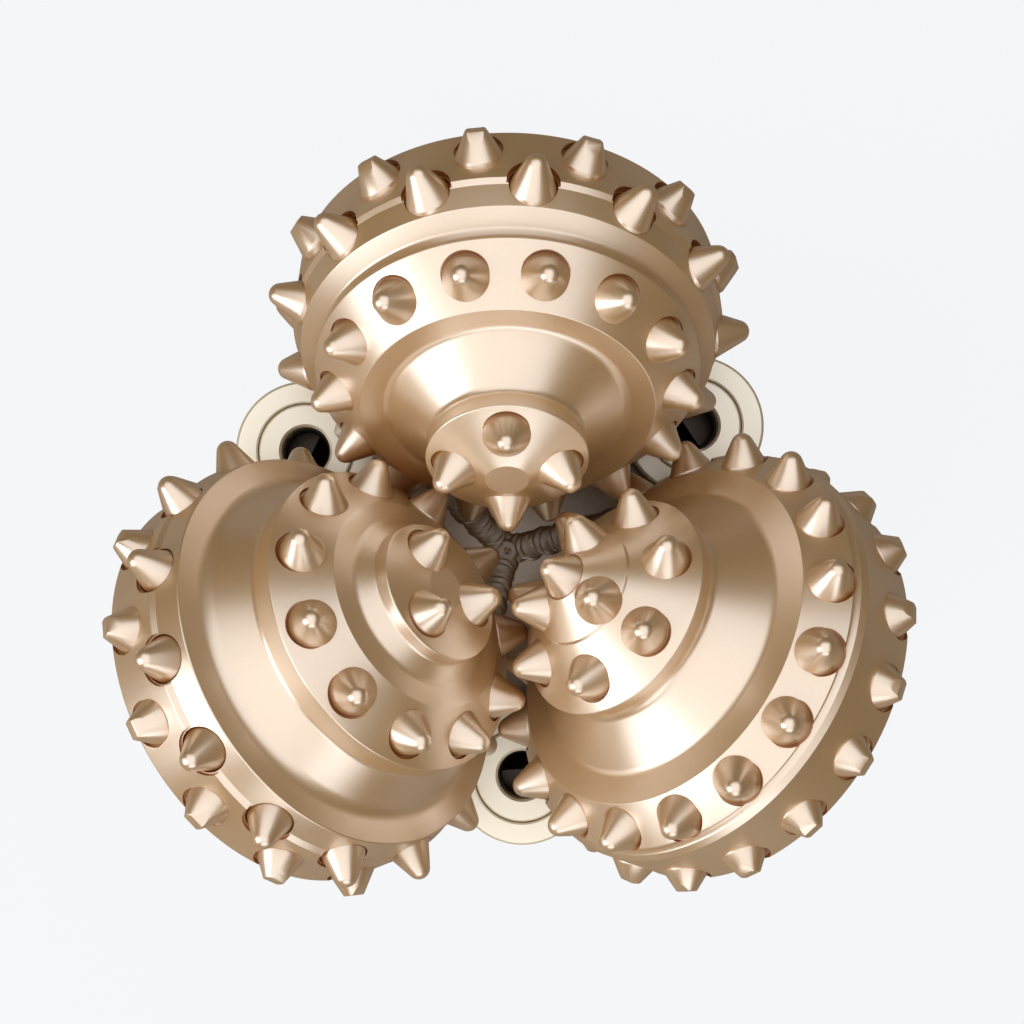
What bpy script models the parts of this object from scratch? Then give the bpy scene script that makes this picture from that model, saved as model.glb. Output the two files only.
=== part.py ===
"""Three-cone rotary drill bit with pressed-in inserts, sealed journal bearings and three jet nozzles.

Run with: blender --background --python part.py
Units are metres. The bit axis is +Z. The pin's nose stands on Z = 0 and the cones are on top.
Each leg has its own frame, turned about Z: X points outwards, Y anticlockwise.
Each journal has its own frame too: Z runs down the journal from the bit axis outwards,
and X points at the hole bottom.
"""
import math

import bmesh
import bpy
from mathutils import Euler, Matrix, Vector

# Whole bit
GAUGE_RADIUS = 0.10795
LEG_TURNS = {"a": 90.0, "b": 210.0, "c": 330.0}
JOURNAL_ANGLE = math.radians(36.5)
JOURNAL_OFFSET = 0.0008
APEX_HEIGHT = 0.250
GAP = 0.0003
RUNNING_GAP = 0.0004

# Pin, shoulder and body
PIN_LENGTH = 0.108
PIN_NOSE_RADIUS = 0.0452
PIN_TAPER = 1.0 / 8.0
PIN_NOSE_CHAMFER = 0.002
PIN_RELIEF_LENGTH = 0.010
PIN_RELIEF_RADIUS = 0.0570
SHOULDER_RADIUS = 0.0705
NECK_RADIUS = 0.0730
SHOULDER_BEVEL = 0.002
BODY_RADIUS = 0.0760
DOME_HEIGHT = 0.1435
DOME_RADIUS = 0.060
DOME_FALL = 0.0060
WATERWAY_RADIUS = 0.0286
PLENUM_RADIUS = 0.042
PLENUM_START = 0.084
PLENUM_CONE = 0.016
PLENUM_WALL = 0.008
PLENUM_ROOF = 0.128
PLENUM_ROOF_RADIUS = 0.016

# Arms
ARM_OUTER_RADIUS = 0.105
ARM_HALF_WIDTH = 0.050
ARM_SLOPE_START = 0.1165
ARM_SLOPE_END_RADIUS = 0.103
ARM_SLOPE_END = 0.1520
ARM_HEEL_LENGTH = 0.006
ARM_TOP = 0.2265
ARM_TOP_TAPER = 0.0012
SEAM_BEFORE = math.radians(-75.0)
SEAM_AFTER = math.radians(45.0)

# Journal, measured from the bit axis down the journal
JOURNAL_FACE = 0.0962
JOURNAL_RADIUS = 0.0272
SEAL_BOSS_RADIUS = 0.0298
SEAL_BOSS_START = 0.0873
FLANGE_FACE = 0.0593
RACE_CENTRE = 0.0520
RACE_LAND_RADIUS = 0.0215
THRUST_FACE = 0.0458
PILOT_RADIUS = 0.0150
PILOT_END = 0.0363
PILOT_CHAMFER = 0.0010

# Bearing pieces
BALL_RADIUS = 0.0055
BALL_CIRCLE = 0.0230
BALL_COUNT = 13
BALL_NECK_RADIUS = 0.0010
RACE_CLEARANCE = 0.0004
BUSHING_WALL = 0.0030
PILOT_BUSHING_WALL = 0.0025
WASHER_THICKNESS = 0.0012
SEAL_SECTION = 0.0029
PLUG_RADIUS = 0.0058
PLUG_LEAN = math.radians(10.0)
PLUG_RACE_DEPTH = 0.0175
PLUG_END_RADIUS = 0.1030
PLUG_NOSE = 0.0060
PLUG_WAIST_RADIUS = 0.0040
PLUG_HEAD = 0.0180
PLUG_CHAMFER = 0.0008
FEED_HOLE_RADIUS = 0.0015
FEED_HOLE_PLACE = 0.0740

# Cone shell, shared by all three
BACK_FACE = 0.0949
BACK_EDGE_RADIUS = 0.0575
GAUGE_CLEARANCE = 0.00065
GAUGE_BEVEL_RADIUS = 0.0518
GLAND_START = 0.0885
CONE_LIP_RADIUS = 0.0245

# Inserts
INSERT_RADIUS = 0.00635
INSERT_GRIP = 0.0020
INSERT_LENGTH = 0.0080
INSERT_TIP_RADIUS = 0.0020
CREST_HALF_LENGTH = 0.0030
CREST_HALF_WIDTH = 0.0010

# Jet nozzles
NOZZLE_CIRCLE = 0.0663
NOZZLE_TURN = math.radians(-55.7)
BOSS_RADIUS = 0.0198
BOSS_CHAMFER = 0.0010
BOSS_TOP = 0.1535
NOZZLE_POCKET_DEPTH = 0.0250
RETAINER_RADIUS = 0.0138
RETAINER_LENGTH = 0.0090
RETAINER_BORE = 0.0073
NOZZLE_RADIUS = 0.0128
NOZZLE_THROAT = 0.0060
NOZZLE_MOUTH = 0.0098
RING_GROOVE_DEPTH = 0.0026
RING_SECTION = 0.0012
RING_HEIGHT = 0.0070
JET_PASSAGE_RADIUS = 0.0085
JET_PASSAGE_FALL = math.radians(45.0)
JET_PASSAGE_LENGTH = 0.050

# Grease reservoirs
POCKET_RADIUS = 0.0155
POCKET_DEPTH = 0.0380
POCKET_PLACE = 0.48
SPOT_FACE_RADIUS = 0.0185
SPOT_FACE_DEPTH = 0.0020
LOCK_GROOVE_RADIUS = 0.0172
LOCK_GROOVE_START = 0.0015
LOCK_RING_THICKNESS = 0.0018
LOCK_RING_WIDTH = 0.0032
LOCK_RING_OPENING = math.radians(60.0)
CAP_THICKNESS = 0.0060
CAP_DISH_RADIUS = 0.0085
CAP_DISH_DEPTH = 0.0020
CAP_VENT_RADIUS = 0.0015
DIAPHRAGM_WALL = 0.0016
DIAPHRAGM_LENGTH = 0.0145
CANISTER_WALL = 0.0015
CANISTER_LENGTH = 0.0180
CANISTER_PORT_RADIUS = 0.0030
GREASE_HOLE_RADIUS = 0.0022
GREASE_HOLE_PLACE = 0.072

# Facets
MERGE = 0.00001
FLAT = math.radians(0.02)
CONE_STEPS = 20
INSERT_SIDES = 8
SECTOR_STEPS = 10
CORE_STEPS = 32
ARM_STEPS = 8
JOURNAL_STEPS = 16
BOSS_STEPS = 16
RESERVOIR_STEPS = 12
DRILL_SIDES = 10
FINE_DRILL_SIDES = 6
GROOVE_STEPS = 3
RACE_STEPS = 4
SEAL_SIDES = 6
BALL_SIDES = 6

# Each cone is a list of lands from the nose to the heel, and the grooves turned between them.
# A land runs from (along the journal, radius) to (along the journal, radius).
# A row has a count, a turn in degrees, the land that it stands on, and its form.
CONE_SHAPES = {
    "a": {
        "nose": 0.0220,
        "lands": [
            ((0.0220, 0.0057), (0.0292, 0.0215)),
            ((0.0458, 0.0393), (0.0589, 0.0521)),
            ((0.0658, 0.0560), (0.0722, 0.0575)),
        ],
        "grooves": [0.0060, 0.0020],
        "ridge": (0.0737, 0.0585),
        "rows": [
            {"count": 4, "turn": 1.4, "land": 0, "along": 0.52},
            {"count": 14, "turn": 14.2, "land": 1, "along": 0.50},
            {"count": 13, "turn": 21.8, "ridge": True, "lean": 80.5},
        ],
        "gauge_row": {"count": 13, "turn": 8.2, "place": 0.58, "lean": 66.0},
    },
    "b": {
        "nose": 0.0240,
        "lands": [
            ((0.0240, 0.0057), (0.0264, 0.0193)),
            ((0.0350, 0.0293), (0.0450, 0.0429)),
            ((0.0652, 0.0560), (0.0725, 0.0573)),
        ],
        "grooves": [0.0028, 0.0055],
        "ridge": (0.0741, 0.0583),
        "rows": [
            {"count": 3, "turn": 19.0, "land": 0, "along": 0.38},
            {"count": 11, "turn": 18.6, "land": 1, "along": 0.50},
            {"count": 14, "turn": 5.6, "ridge": True, "lean": 96.0},
        ],
        "gauge_row": {"count": 14, "turn": 18.7, "place": 0.62, "lean": 76.0},
    },
    "c": {
        "nose": 0.0198,
        "lands": [
            ((0.0198, 0.0064), (0.0262, 0.0159)),
            ((0.0270, 0.0162), (0.0389, 0.0309)),
            ((0.05765, 0.0486), (0.0666, 0.0578)),
        ],
        "grooves": [0.0, 0.0065],
        "ridge": (0.0692, 0.0587),
        "rows": [
            {"count": 1, "turn": 0.0, "nose": True},
            {"count": 3, "turn": -4.0, "land": 0, "along": 0.60},
            {"count": 7, "turn": 47.7, "land": 1, "along": 0.50},
            {"count": 17, "turn": 17.9, "land": 2, "along": 0.52},
        ],
        "gauge_row": {"count": 18, "turn": 17.7, "place": 0.72, "lean": 72.0},
    },
}

# Finishes: colour, metallic, roughness
FINISHES = {
    "gold_paint": ((0.72, 0.52, 0.32), 0.85, 0.38),
    "bearing_steel": ((0.55, 0.56, 0.58), 1.0, 0.25),
    "bearing_bronze": ((0.62, 0.42, 0.20), 1.0, 0.32),
    "carbide": ((0.34, 0.34, 0.35), 0.9, 0.35),
    "seal_rubber": ((0.03, 0.03, 0.03), 0.0, 0.6),
    "zinc_steel": ((0.66, 0.64, 0.58), 1.0, 0.35),
}


def clear_scene():
    """Remove every object that the file opened with."""
    for item in list(bpy.data.objects):
        bpy.data.objects.remove(item, do_unlink=True)


def make_finishes():
    """One Principled material for each finish."""
    made = {}
    for name, (colour, metallic, roughness) in FINISHES.items():
        finish = bpy.data.materials.new(name)
        finish.use_nodes = True
        shader = finish.node_tree.nodes["Principled BSDF"]
        shader.inputs["Base Color"].default_value = (*colour, 1.0)
        shader.inputs["Metallic"].default_value = metallic
        shader.inputs["Roughness"].default_value = roughness
        finish.diffuse_color = (*colour, 1.0)
        made[name] = finish
    return made


def mesh_from(bm, name):
    """Close a bmesh into a mesh that faces outwards."""
    bmesh.ops.remove_doubles(bm, verts=bm.verts, dist=MERGE)
    bmesh.ops.recalc_face_normals(bm, faces=bm.faces)
    mesh = bpy.data.meshes.new(name)
    bm.to_mesh(mesh)
    bm.free()
    return mesh


def place(mesh, name, parent, finish, smooth_angle=None):
    """A named object that carries a mesh under an empty."""
    item = bpy.data.objects.new(name, mesh)
    bpy.context.collection.objects.link(item)
    item.parent = parent
    if finish is not None and not mesh.materials:
        mesh.materials.append(finish)
    if smooth_angle is not None:
        mesh.shade_smooth()
        mesh.set_sharp_from_angle(angle=math.radians(smooth_angle))
    return item


def frame(name, parent, location, rotation):
    """An empty that holds a leg's or a journal's frame."""
    empty = bpy.data.objects.new(name, None)
    bpy.context.collection.objects.link(empty)
    empty.parent = parent
    empty.location = location
    empty.rotation_euler = rotation
    empty.empty_display_size = 0.02
    return empty


def revolve(profile, steps, start=0.0, angle=2.0 * math.pi, name="revolved"):
    """Spin a closed outline of (radius, height) points about Z.

    Points on the axis close into poles. A part turn keeps a flat face at each end.
    """
    bm = bmesh.new()
    points = [bm.verts.new((radius, 0.0, height)) for radius, height in profile]
    if angle > 2.0 * math.pi - 1e-6:
        pairs = zip(points, points[1:] + points[:1])
        geometry = points + [bm.edges.new(pair) for pair in pairs if not both_on_axis(*pair)]
    else:
        face = bm.faces.new(points)
        geometry = points + list(face.edges) + [face]
    bmesh.ops.rotate(bm, verts=bm.verts, cent=(0, 0, 0), matrix=Matrix.Rotation(start, 3, "Z"))
    bmesh.ops.spin(bm, geom=geometry, cent=(0, 0, 0), axis=(0, 0, 1), angle=angle, steps=steps)
    return mesh_from(bm, name)


def both_on_axis(one, other):
    """True where an edge lies on the Z axis and spins into nothing."""
    return one.co.xy.length < 1e-9 and other.co.xy.length < 1e-9


def arc_points(centre, radius, start, end, steps):
    """Points on an arc about a centre, both ends included, with angles in radians."""
    turns = [start + (end - start) * i / steps for i in range(steps + 1)]
    return [(centre[0] + radius * math.cos(a), centre[1] + radius * math.sin(a)) for a in turns]


def groove_points(first, last, depth, steps):
    """Points of a round groove between two (radius, height) points, without its ends."""
    if depth <= 0.0:
        return []
    first = Vector(first)
    last = Vector(last)
    chord = last - first
    inward = Vector((-chord.y, chord.x)).normalized()
    if inward.x > 0.0:
        inward.negate()
    radius = (chord.length_squared / 4.0 + depth * depth) / (2.0 * depth)
    centre = (first + last) / 2.0 - inward * (radius - depth)
    half_turn = math.asin(chord.length / 2.0 / radius)
    middle = math.atan2(inward.y, inward.x)
    sweep = half_turn if (first - centre).angle_signed(inward) < 0.0 else -half_turn
    turns = [middle + sweep * (2.0 * i / steps - 1.0) for i in range(1, steps)]
    return [(centre.x + radius * math.cos(a), centre.y + radius * math.sin(a)) for a in turns]


def boolean(item, cutter, operation):
    """Work a cutter into an object for good, and remove the cutter."""
    modifier = item.modifiers.new(operation.lower(), "BOOLEAN")
    modifier.operation = operation
    modifier.solver = "EXACT"
    modifier.object = cutter
    bpy.context.view_layer.update()
    graph = bpy.context.evaluated_depsgraph_get()
    mesh = bpy.data.meshes.new_from_object(item.evaluated_get(graph))
    item.modifiers.clear()
    item.data = mesh
    bpy.data.objects.remove(cutter, do_unlink=True)
    clean(mesh)


def clean(mesh, flat_angle=0.0):
    """Merge the hair-thin slivers that a cut leaves, and join faces that lie in one plane."""
    bm = bmesh.new()
    bm.from_mesh(mesh)
    bmesh.ops.remove_doubles(bm, verts=bm.verts, dist=MERGE)
    if flat_angle:
        bmesh.ops.dissolve_limit(bm, verts=bm.verts, edges=bm.edges, angle_limit=flat_angle)
    bm.to_mesh(mesh)
    bm.free()


def cutter_from(mesh, matrix=None):
    """A working object for a Boolean, its place already in the mesh."""
    if matrix is not None:
        mesh.transform(matrix)
    return place(mesh, "cutter", None, None)


def journal_matrix():
    """The journal's frame inside its leg's frame."""
    turn = Euler((math.pi, JOURNAL_ANGLE - math.pi / 2.0, 0.0)).to_matrix().to_4x4()
    return Matrix.Translation((0.0, JOURNAL_OFFSET, APEX_HEIGHT)) @ turn


def nozzle_place():
    """The nozzle's centre inside its leg's frame, at the boss's top face."""
    across = NOZZLE_CIRCLE * math.cos(NOZZLE_TURN)
    along = NOZZLE_CIRCLE * math.sin(NOZZLE_TURN)
    return Vector((across, along, BOSS_TOP))


def reservoir_place():
    """A point on the arm's slope, and the slope's lean, where the grease reservoir opens."""
    low = Vector((NECK_RADIUS, 0.0, ARM_SLOPE_START))
    high = Vector((ARM_SLOPE_END_RADIUS, 0.0, ARM_SLOPE_END))
    slope = high - low
    return low.lerp(high, POCKET_PLACE), -math.atan2(slope.z, slope.x)


def plug_point(along):
    """A point on the ball plug's axis, in the journal's frame, at a place along the journal."""
    return Vector((-PLUG_RACE_DEPTH + (along - RACE_CENTRE) * math.tan(PLUG_LEAN), 0.0, along))


def plug_end():
    """The place along the journal where the ball plug's axis reaches its outer end's radius."""
    rise = math.cos(JOURNAL_ANGLE) + math.sin(JOURNAL_ANGLE) * math.tan(PLUG_LEAN)
    start = math.cos(JOURNAL_ANGLE) * RACE_CENTRE - math.sin(JOURNAL_ANGLE) * PLUG_RACE_DEPTH
    return RACE_CENTRE + (PLUG_END_RADIUS - start) / rise


def rod(start, end, radius, sides):
    """A round rod between two points, as a mesh."""
    axis = end - start
    profile = [(0.0, 0.0), (radius, 0.0), (radius, axis.length), (0.0, axis.length)]
    mesh = revolve(profile, sides)
    mesh.transform(Matrix.Translation(start) @ axis.to_track_quat("Z", "Y").to_matrix().to_4x4())
    return mesh


def billet_mesh():
    """A third of the forging: the pin, shoulder, neck and arm's outside, with the waterway in it."""
    taper_top = PIN_LENGTH - PIN_RELIEF_LENGTH
    profile = [
        (WATERWAY_RADIUS, 0.0),
        (PIN_NOSE_RADIUS - PIN_NOSE_CHAMFER, 0.0),
        (PIN_NOSE_RADIUS, PIN_NOSE_CHAMFER),
        (PIN_NOSE_RADIUS + taper_top * PIN_TAPER, taper_top),
        (PIN_RELIEF_RADIUS, taper_top + SHOULDER_BEVEL),
        (PIN_RELIEF_RADIUS, PIN_LENGTH),
        (SHOULDER_RADIUS, PIN_LENGTH),
        (NECK_RADIUS, PIN_LENGTH + SHOULDER_BEVEL),
        (NECK_RADIUS, ARM_SLOPE_START),
        (ARM_SLOPE_END_RADIUS, ARM_SLOPE_END),
        (ARM_OUTER_RADIUS, ARM_SLOPE_END + ARM_HEEL_LENGTH),
        (ARM_OUTER_RADIUS - ARM_TOP_TAPER, ARM_TOP),
        (0.0, ARM_TOP),
        (0.0, PLENUM_ROOF),
        (PLENUM_ROOF_RADIUS, PLENUM_ROOF),
        (PLENUM_RADIUS, PLENUM_START + PLENUM_CONE + PLENUM_WALL),
        (PLENUM_RADIUS, PLENUM_START + PLENUM_CONE),
        (WATERWAY_RADIUS, PLENUM_START),
    ]
    return revolve(profile, SECTOR_STEPS, SEAM_BEFORE, SEAM_AFTER - SEAM_BEFORE, "billet")


def open_seams(mesh):
    """Draw both seam faces of a third in by half the gap, so that thirds don't touch."""
    before = Vector((-math.sin(SEAM_BEFORE), math.cos(SEAM_BEFORE), 0.0))
    after = Vector((math.sin(SEAM_AFTER), -math.cos(SEAM_AFTER), 0.0))
    for vertex in mesh.vertices:
        on_before = abs(vertex.co.dot(before)) < 1e-7
        on_after = abs(vertex.co.dot(after)) < 1e-7
        share = 1.0 + before.dot(after) if on_before and on_after else 1.0
        if on_before:
            vertex.co += before * (GAP / 2.0 / share)
        if on_after:
            vertex.co += after * (GAP / 2.0 / share)


def arm_mesh():
    """The arm: a tongue behind the cone, round at the top about the journal's axis."""
    tongue = arc_points((0.0, 0.0), ARM_HALF_WIDTH, -math.pi / 2.0, math.pi / 2.0, ARM_STEPS)
    outline = [(-0.14, -ARM_HALF_WIDTH)] + tongue + [(-0.14, ARM_HALF_WIDTH)]
    bm = bmesh.new()
    face = bm.faces.new([bm.verts.new((x, y, JOURNAL_FACE)) for x, y in outline])
    grown = bmesh.ops.extrude_face_region(bm, geom=[face])["geom"]
    moved = [v for v in grown if isinstance(v, bmesh.types.BMVert)]
    bmesh.ops.translate(bm, verts=moved, vec=(0.0, 0.0, 0.08))
    return mesh_from(bm, "arm")


def race_arc(land):
    """Points of a ball race's arc, which opens at a land's radius, from the back to the nose."""
    radius = BALL_RADIUS + RACE_CLEARANCE
    half_width = math.sqrt(radius * radius - (land - BALL_CIRCLE) ** 2)
    start = math.atan2(half_width, land - BALL_CIRCLE)
    end = 2.0 * math.pi - start if land < BALL_CIRCLE else -start
    return arc_points((BALL_CIRCLE, RACE_CENTRE), radius, start, end, RACE_STEPS)


def journal_mesh():
    """The journal: seal boss, main bearing, ball race, thrust face and pilot pin."""
    profile = [
        (0.0, JOURNAL_FACE + 0.003),
        (SEAL_BOSS_RADIUS, JOURNAL_FACE + 0.003),
        (SEAL_BOSS_RADIUS, SEAL_BOSS_START),
        (JOURNAL_RADIUS, SEAL_BOSS_START),
        (JOURNAL_RADIUS, FLANGE_FACE),
        (RACE_LAND_RADIUS, FLANGE_FACE),
        *race_arc(RACE_LAND_RADIUS),
        (RACE_LAND_RADIUS, THRUST_FACE),
        (PILOT_RADIUS, THRUST_FACE),
        (PILOT_RADIUS, PILOT_END + PILOT_CHAMFER),
        (PILOT_RADIUS - PILOT_CHAMFER, PILOT_END),
        (0.0, PILOT_END),
    ]
    return revolve(profile, JOURNAL_STEPS, name="journal")


def core_mesh():
    """The body's round core, up to the dome between the cones."""
    profile = [
        (0.0, -0.001),
        (BODY_RADIUS, -0.001),
        (BODY_RADIUS, DOME_HEIGHT - DOME_FALL),
        (DOME_RADIUS, DOME_HEIGHT),
        (0.0, DOME_HEIGHT),
    ]
    return revolve(profile, CORE_STEPS, name="core")


def boss_mesh():
    """The round boss that holds a jet nozzle."""
    profile = [
        (0.0, ARM_SLOPE_START - BOSS_TOP),
        (BOSS_RADIUS, ARM_SLOPE_START - BOSS_TOP),
        (BOSS_RADIUS, -BOSS_CHAMFER),
        (BOSS_RADIUS - BOSS_CHAMFER, 0.0),
        (0.0, 0.0),
    ]
    mesh = revolve(profile, BOSS_STEPS, name="boss")
    mesh.transform(Matrix.Translation(nozzle_place()))
    return mesh


def nozzle_pocket_mesh():
    """The stepped pocket for a retainer, a nozzle and its ring, cut from the boss's top."""
    wide = RETAINER_RADIUS + GAP
    narrow = NOZZLE_RADIUS + GAP
    groove = narrow + RING_GROOVE_DEPTH
    half_groove = RING_SECTION + GAP
    floor = -NOZZLE_POCKET_DEPTH
    ring = floor + RING_HEIGHT
    profile = [
        (0.0, 0.01),
        (wide, 0.01),
        (wide, -RETAINER_LENGTH),
        (narrow, -RETAINER_LENGTH),
        (narrow, ring + half_groove),
        (groove, ring + half_groove),
        (groove, ring - half_groove),
        (narrow, ring - half_groove),
        (narrow, floor),
        (0.0, floor),
    ]
    mesh = revolve(profile, BOSS_STEPS, name="nozzle_pocket")
    mesh.transform(Matrix.Translation(nozzle_place()))
    return mesh


def jet_passage_mesh():
    """The slanted drilling from the plenum up to the nozzle pocket's floor."""
    start = nozzle_place() - Vector((0.0, 0.0, NOZZLE_POCKET_DEPTH - GAP))
    inward = Vector((-start.x, -start.y, 0.0)).normalized() * math.cos(JET_PASSAGE_FALL)
    fall = Vector((0.0, 0.0, -math.sin(JET_PASSAGE_FALL)))
    return rod(start, start + (inward + fall) * JET_PASSAGE_LENGTH, JET_PASSAGE_RADIUS, DRILL_SIDES)


def reservoir_pocket_mesh():
    """The stepped bore for the grease reservoir, its Z running into the arm."""
    groove = SPOT_FACE_DEPTH + LOCK_GROOVE_START
    groove_end = groove + LOCK_RING_THICKNESS + 2.0 * GAP
    floor = SPOT_FACE_DEPTH + POCKET_DEPTH
    profile = [
        (0.0, -0.02),
        (SPOT_FACE_RADIUS, -0.02),
        (SPOT_FACE_RADIUS, SPOT_FACE_DEPTH),
        (POCKET_RADIUS, SPOT_FACE_DEPTH),
        (POCKET_RADIUS, groove),
        (LOCK_GROOVE_RADIUS, groove),
        (LOCK_GROOVE_RADIUS, groove_end),
        (POCKET_RADIUS, groove_end),
        (POCKET_RADIUS, floor),
        (0.0, floor),
    ]
    mesh = revolve(profile, RESERVOIR_STEPS, name="reservoir_pocket")
    point, lean = reservoir_place()
    mesh.transform(Matrix.Translation(point) @ Matrix.Rotation(lean, 4, "Y"))
    return mesh


def grease_hole_mesh():
    """The drilling from the reservoir's pocket up to the ball plug's hole."""
    point, lean = reservoir_place()
    inward = Vector((math.sin(lean), 0.0, math.cos(lean)))
    low = point + inward * ((GREASE_HOLE_PLACE - point.x) / inward.x)
    to_leg = journal_matrix()
    near = to_leg @ plug_point(JOURNAL_FACE)
    far = to_leg @ plug_point(plug_end())
    high = near.lerp(far, (GREASE_HOLE_PLACE - near.x) / (far.x - near.x))
    low.y = high.y = JOURNAL_OFFSET
    return rod(low, high, GREASE_HOLE_RADIUS, FINE_DRILL_SIDES)


def leg_mesh():
    """One leg with its third of the pin, its arm, its journal and its nozzle boss."""
    to_leg = journal_matrix()
    keep = place(core_mesh(), "keep", None, None)
    boolean(keep, cutter_from(arm_mesh(), to_leg), "UNION")
    boolean(keep, cutter_from(boss_mesh()), "UNION")
    billet = billet_mesh()
    open_seams(billet)
    leg = place(billet, "leg", None, None)
    boolean(leg, keep, "INTERSECT")
    boolean(leg, cutter_from(journal_mesh(), to_leg), "UNION")
    boolean(leg, cutter_from(nozzle_pocket_mesh()), "DIFFERENCE")
    boolean(leg, cutter_from(jet_passage_mesh()), "DIFFERENCE")
    boolean(leg, cutter_from(reservoir_pocket_mesh()), "DIFFERENCE")
    hole_end = plug_point(plug_end() + 0.03)
    hole = rod(plug_point(RACE_CENTRE - 0.002), hole_end, PLUG_RADIUS + GAP, DRILL_SIDES)
    boolean(leg, cutter_from(hole, to_leg), "DIFFERENCE")
    boolean(leg, cutter_from(grease_hole_mesh()), "DIFFERENCE")
    feed_start = plug_point(FEED_HOLE_PLACE)
    feed_end = Vector((-JOURNAL_RADIUS - 0.0005, 0.0, FEED_HOLE_PLACE))
    feed = rod(feed_start, feed_end, FEED_HOLE_RADIUS, FINE_DRILL_SIDES)
    boolean(leg, cutter_from(feed, to_leg), "DIFFERENCE")
    mesh = leg.data
    bpy.data.objects.remove(leg, do_unlink=True)
    clean(mesh, FLAT)
    return mesh


def back_edge():
    """The (radius, height) of the cone's back edge, just inside the gauge."""
    reach = GAUGE_RADIUS - GAUGE_CLEARANCE
    along = (reach - math.sin(JOURNAL_ANGLE) * BACK_EDGE_RADIUS) / math.cos(JOURNAL_ANGLE)
    return BACK_EDGE_RADIUS, along


def cone_profile(shape):
    """The outline of one cone shell, from the nose over the back face and into the cavity."""
    outside = [(0.0, shape["nose"])]
    for number, (first, last) in enumerate(shape["lands"]):
        start = (first[1], first[0])
        if number:
            outside += groove_points(outside[-1], start, shape["grooves"][number - 1], GROOVE_STEPS)
        outside += [start, (last[1], last[0])]
    outside += [(shape["ridge"][1], shape["ridge"][0]), back_edge(), (GAUGE_BEVEL_RADIUS, BACK_FACE)]
    main_bore = JOURNAL_RADIUS + BUSHING_WALL + 2.0 * RUNNING_GAP
    pilot_bore = PILOT_RADIUS + PILOT_BUSHING_WALL + 2.0 * RUNNING_GAP
    cavity = [
        (gland_radius(), BACK_FACE),
        (gland_radius(), GLAND_START),
        (main_bore, GLAND_START),
        (main_bore, FLANGE_FACE - RUNNING_GAP),
        (CONE_LIP_RADIUS, FLANGE_FACE - RUNNING_GAP),
        *race_arc(CONE_LIP_RADIUS),
        (CONE_LIP_RADIUS, THRUST_FACE - RUNNING_GAP),
        (pilot_bore, THRUST_FACE - RUNNING_GAP),
        (pilot_bore, cavity_floor()),
        (0.0, cavity_floor()),
    ]
    return outside + cavity


def gland_radius():
    """The radius of the bore that the cone's seal fills."""
    return SEAL_BOSS_RADIUS + 2.0 * (SEAL_SECTION + RUNNING_GAP)


def cavity_floor():
    """Where the cone's bore ends, past the thrust washer on the pilot's end."""
    return PILOT_END - WASHER_THICKNESS - 2.0 * RUNNING_GAP


def add_insert(bm, matrix, length, crest):
    """Add one pressed-in insert, its axis along the matrix's Z, with a cone or a chisel crest."""
    tip = (CREST_HALF_WIDTH, CREST_HALF_LENGTH) if crest else (INSERT_TIP_RADIUS, INSERT_TIP_RADIUS)
    foot = [INSERT_RADIUS + (INSERT_RADIUS - half) * INSERT_GRIP / length for half in tip]
    loops = []
    for height, (across, along) in ((-INSERT_GRIP, foot), (length, tip)):
        turns = [2.0 * math.pi * (i + 0.5) / INSERT_SIDES for i in range(INSERT_SIDES)]
        ring = [Vector((across * math.cos(a), along * math.sin(a), height)) for a in turns]
        loops.append([bm.verts.new(matrix @ point) for point in ring])
    for lower, upper in zip(loops, loops[1:]):
        for i in range(INSERT_SIDES):
            j = (i + 1) % INSERT_SIDES
            bm.faces.new((lower[i], lower[j], upper[j], upper[i]))
    bm.faces.new(list(reversed(loops[0])))
    bm.faces.new(loops[-1])


def insert_matrix(along, radius, lean, turn):
    """The frame of an insert that stands at a place on the cone and leans from the journal's axis."""
    outward = Vector((math.cos(turn), -math.sin(turn), 0.0))
    side = Vector((math.sin(turn), math.cos(turn), 0.0))
    axis = outward * math.sin(lean) + Vector((0.0, 0.0, math.cos(lean)))
    across = side.cross(axis)
    matrix = Matrix((across, side, axis)).transposed().to_4x4()
    matrix.translation = outward * radius + Vector((0.0, 0.0, along))
    return matrix


def row_seat(shape, row):
    """Where a row stands on its cone, as (along, radius, lean, length, crest)."""
    if row.get("nose"):
        return shape["nose"], 0.0, math.pi, INSERT_LENGTH, False
    if row.get("ridge"):
        last = shape["lands"][-1][1]
        along = (last[0] + shape["ridge"][0]) / 2.0
        radius = (last[1] + shape["ridge"][1]) / 2.0
        return along, radius, math.radians(row["lean"]), INSERT_LENGTH, False
    if "land" in row:
        first, last = (Vector(end) for end in shape["lands"][row["land"]])
        seat = first.lerp(last, row["along"])
        run = last - first
        return seat.x, seat.y, math.atan2(run.x, -run.y), INSERT_LENGTH, False
    edge = back_edge()
    ridge = shape["ridge"]
    along = ridge[0] + (edge[1] - ridge[0]) * row["place"]
    radius = ridge[1] + (edge[0] - ridge[1]) * row["place"]
    lean = math.radians(row["lean"])
    return along, radius, lean, gauge_length(along, radius, lean), True


def gauge_length(along, radius, lean):
    """The length that brings an insert's crest out to the gauge, at its two outer corners."""
    reach = math.sqrt(GAUGE_RADIUS**2 - (CREST_HALF_LENGTH + JOURNAL_OFFSET) ** 2)
    seat = math.cos(JOURNAL_ANGLE) * along + math.sin(JOURNAL_ANGLE) * radius
    crest = CREST_HALF_WIDTH * math.sin(abs(lean - JOURNAL_ANGLE))
    return (reach - seat - crest) / math.cos(lean - JOURNAL_ANGLE)


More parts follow.
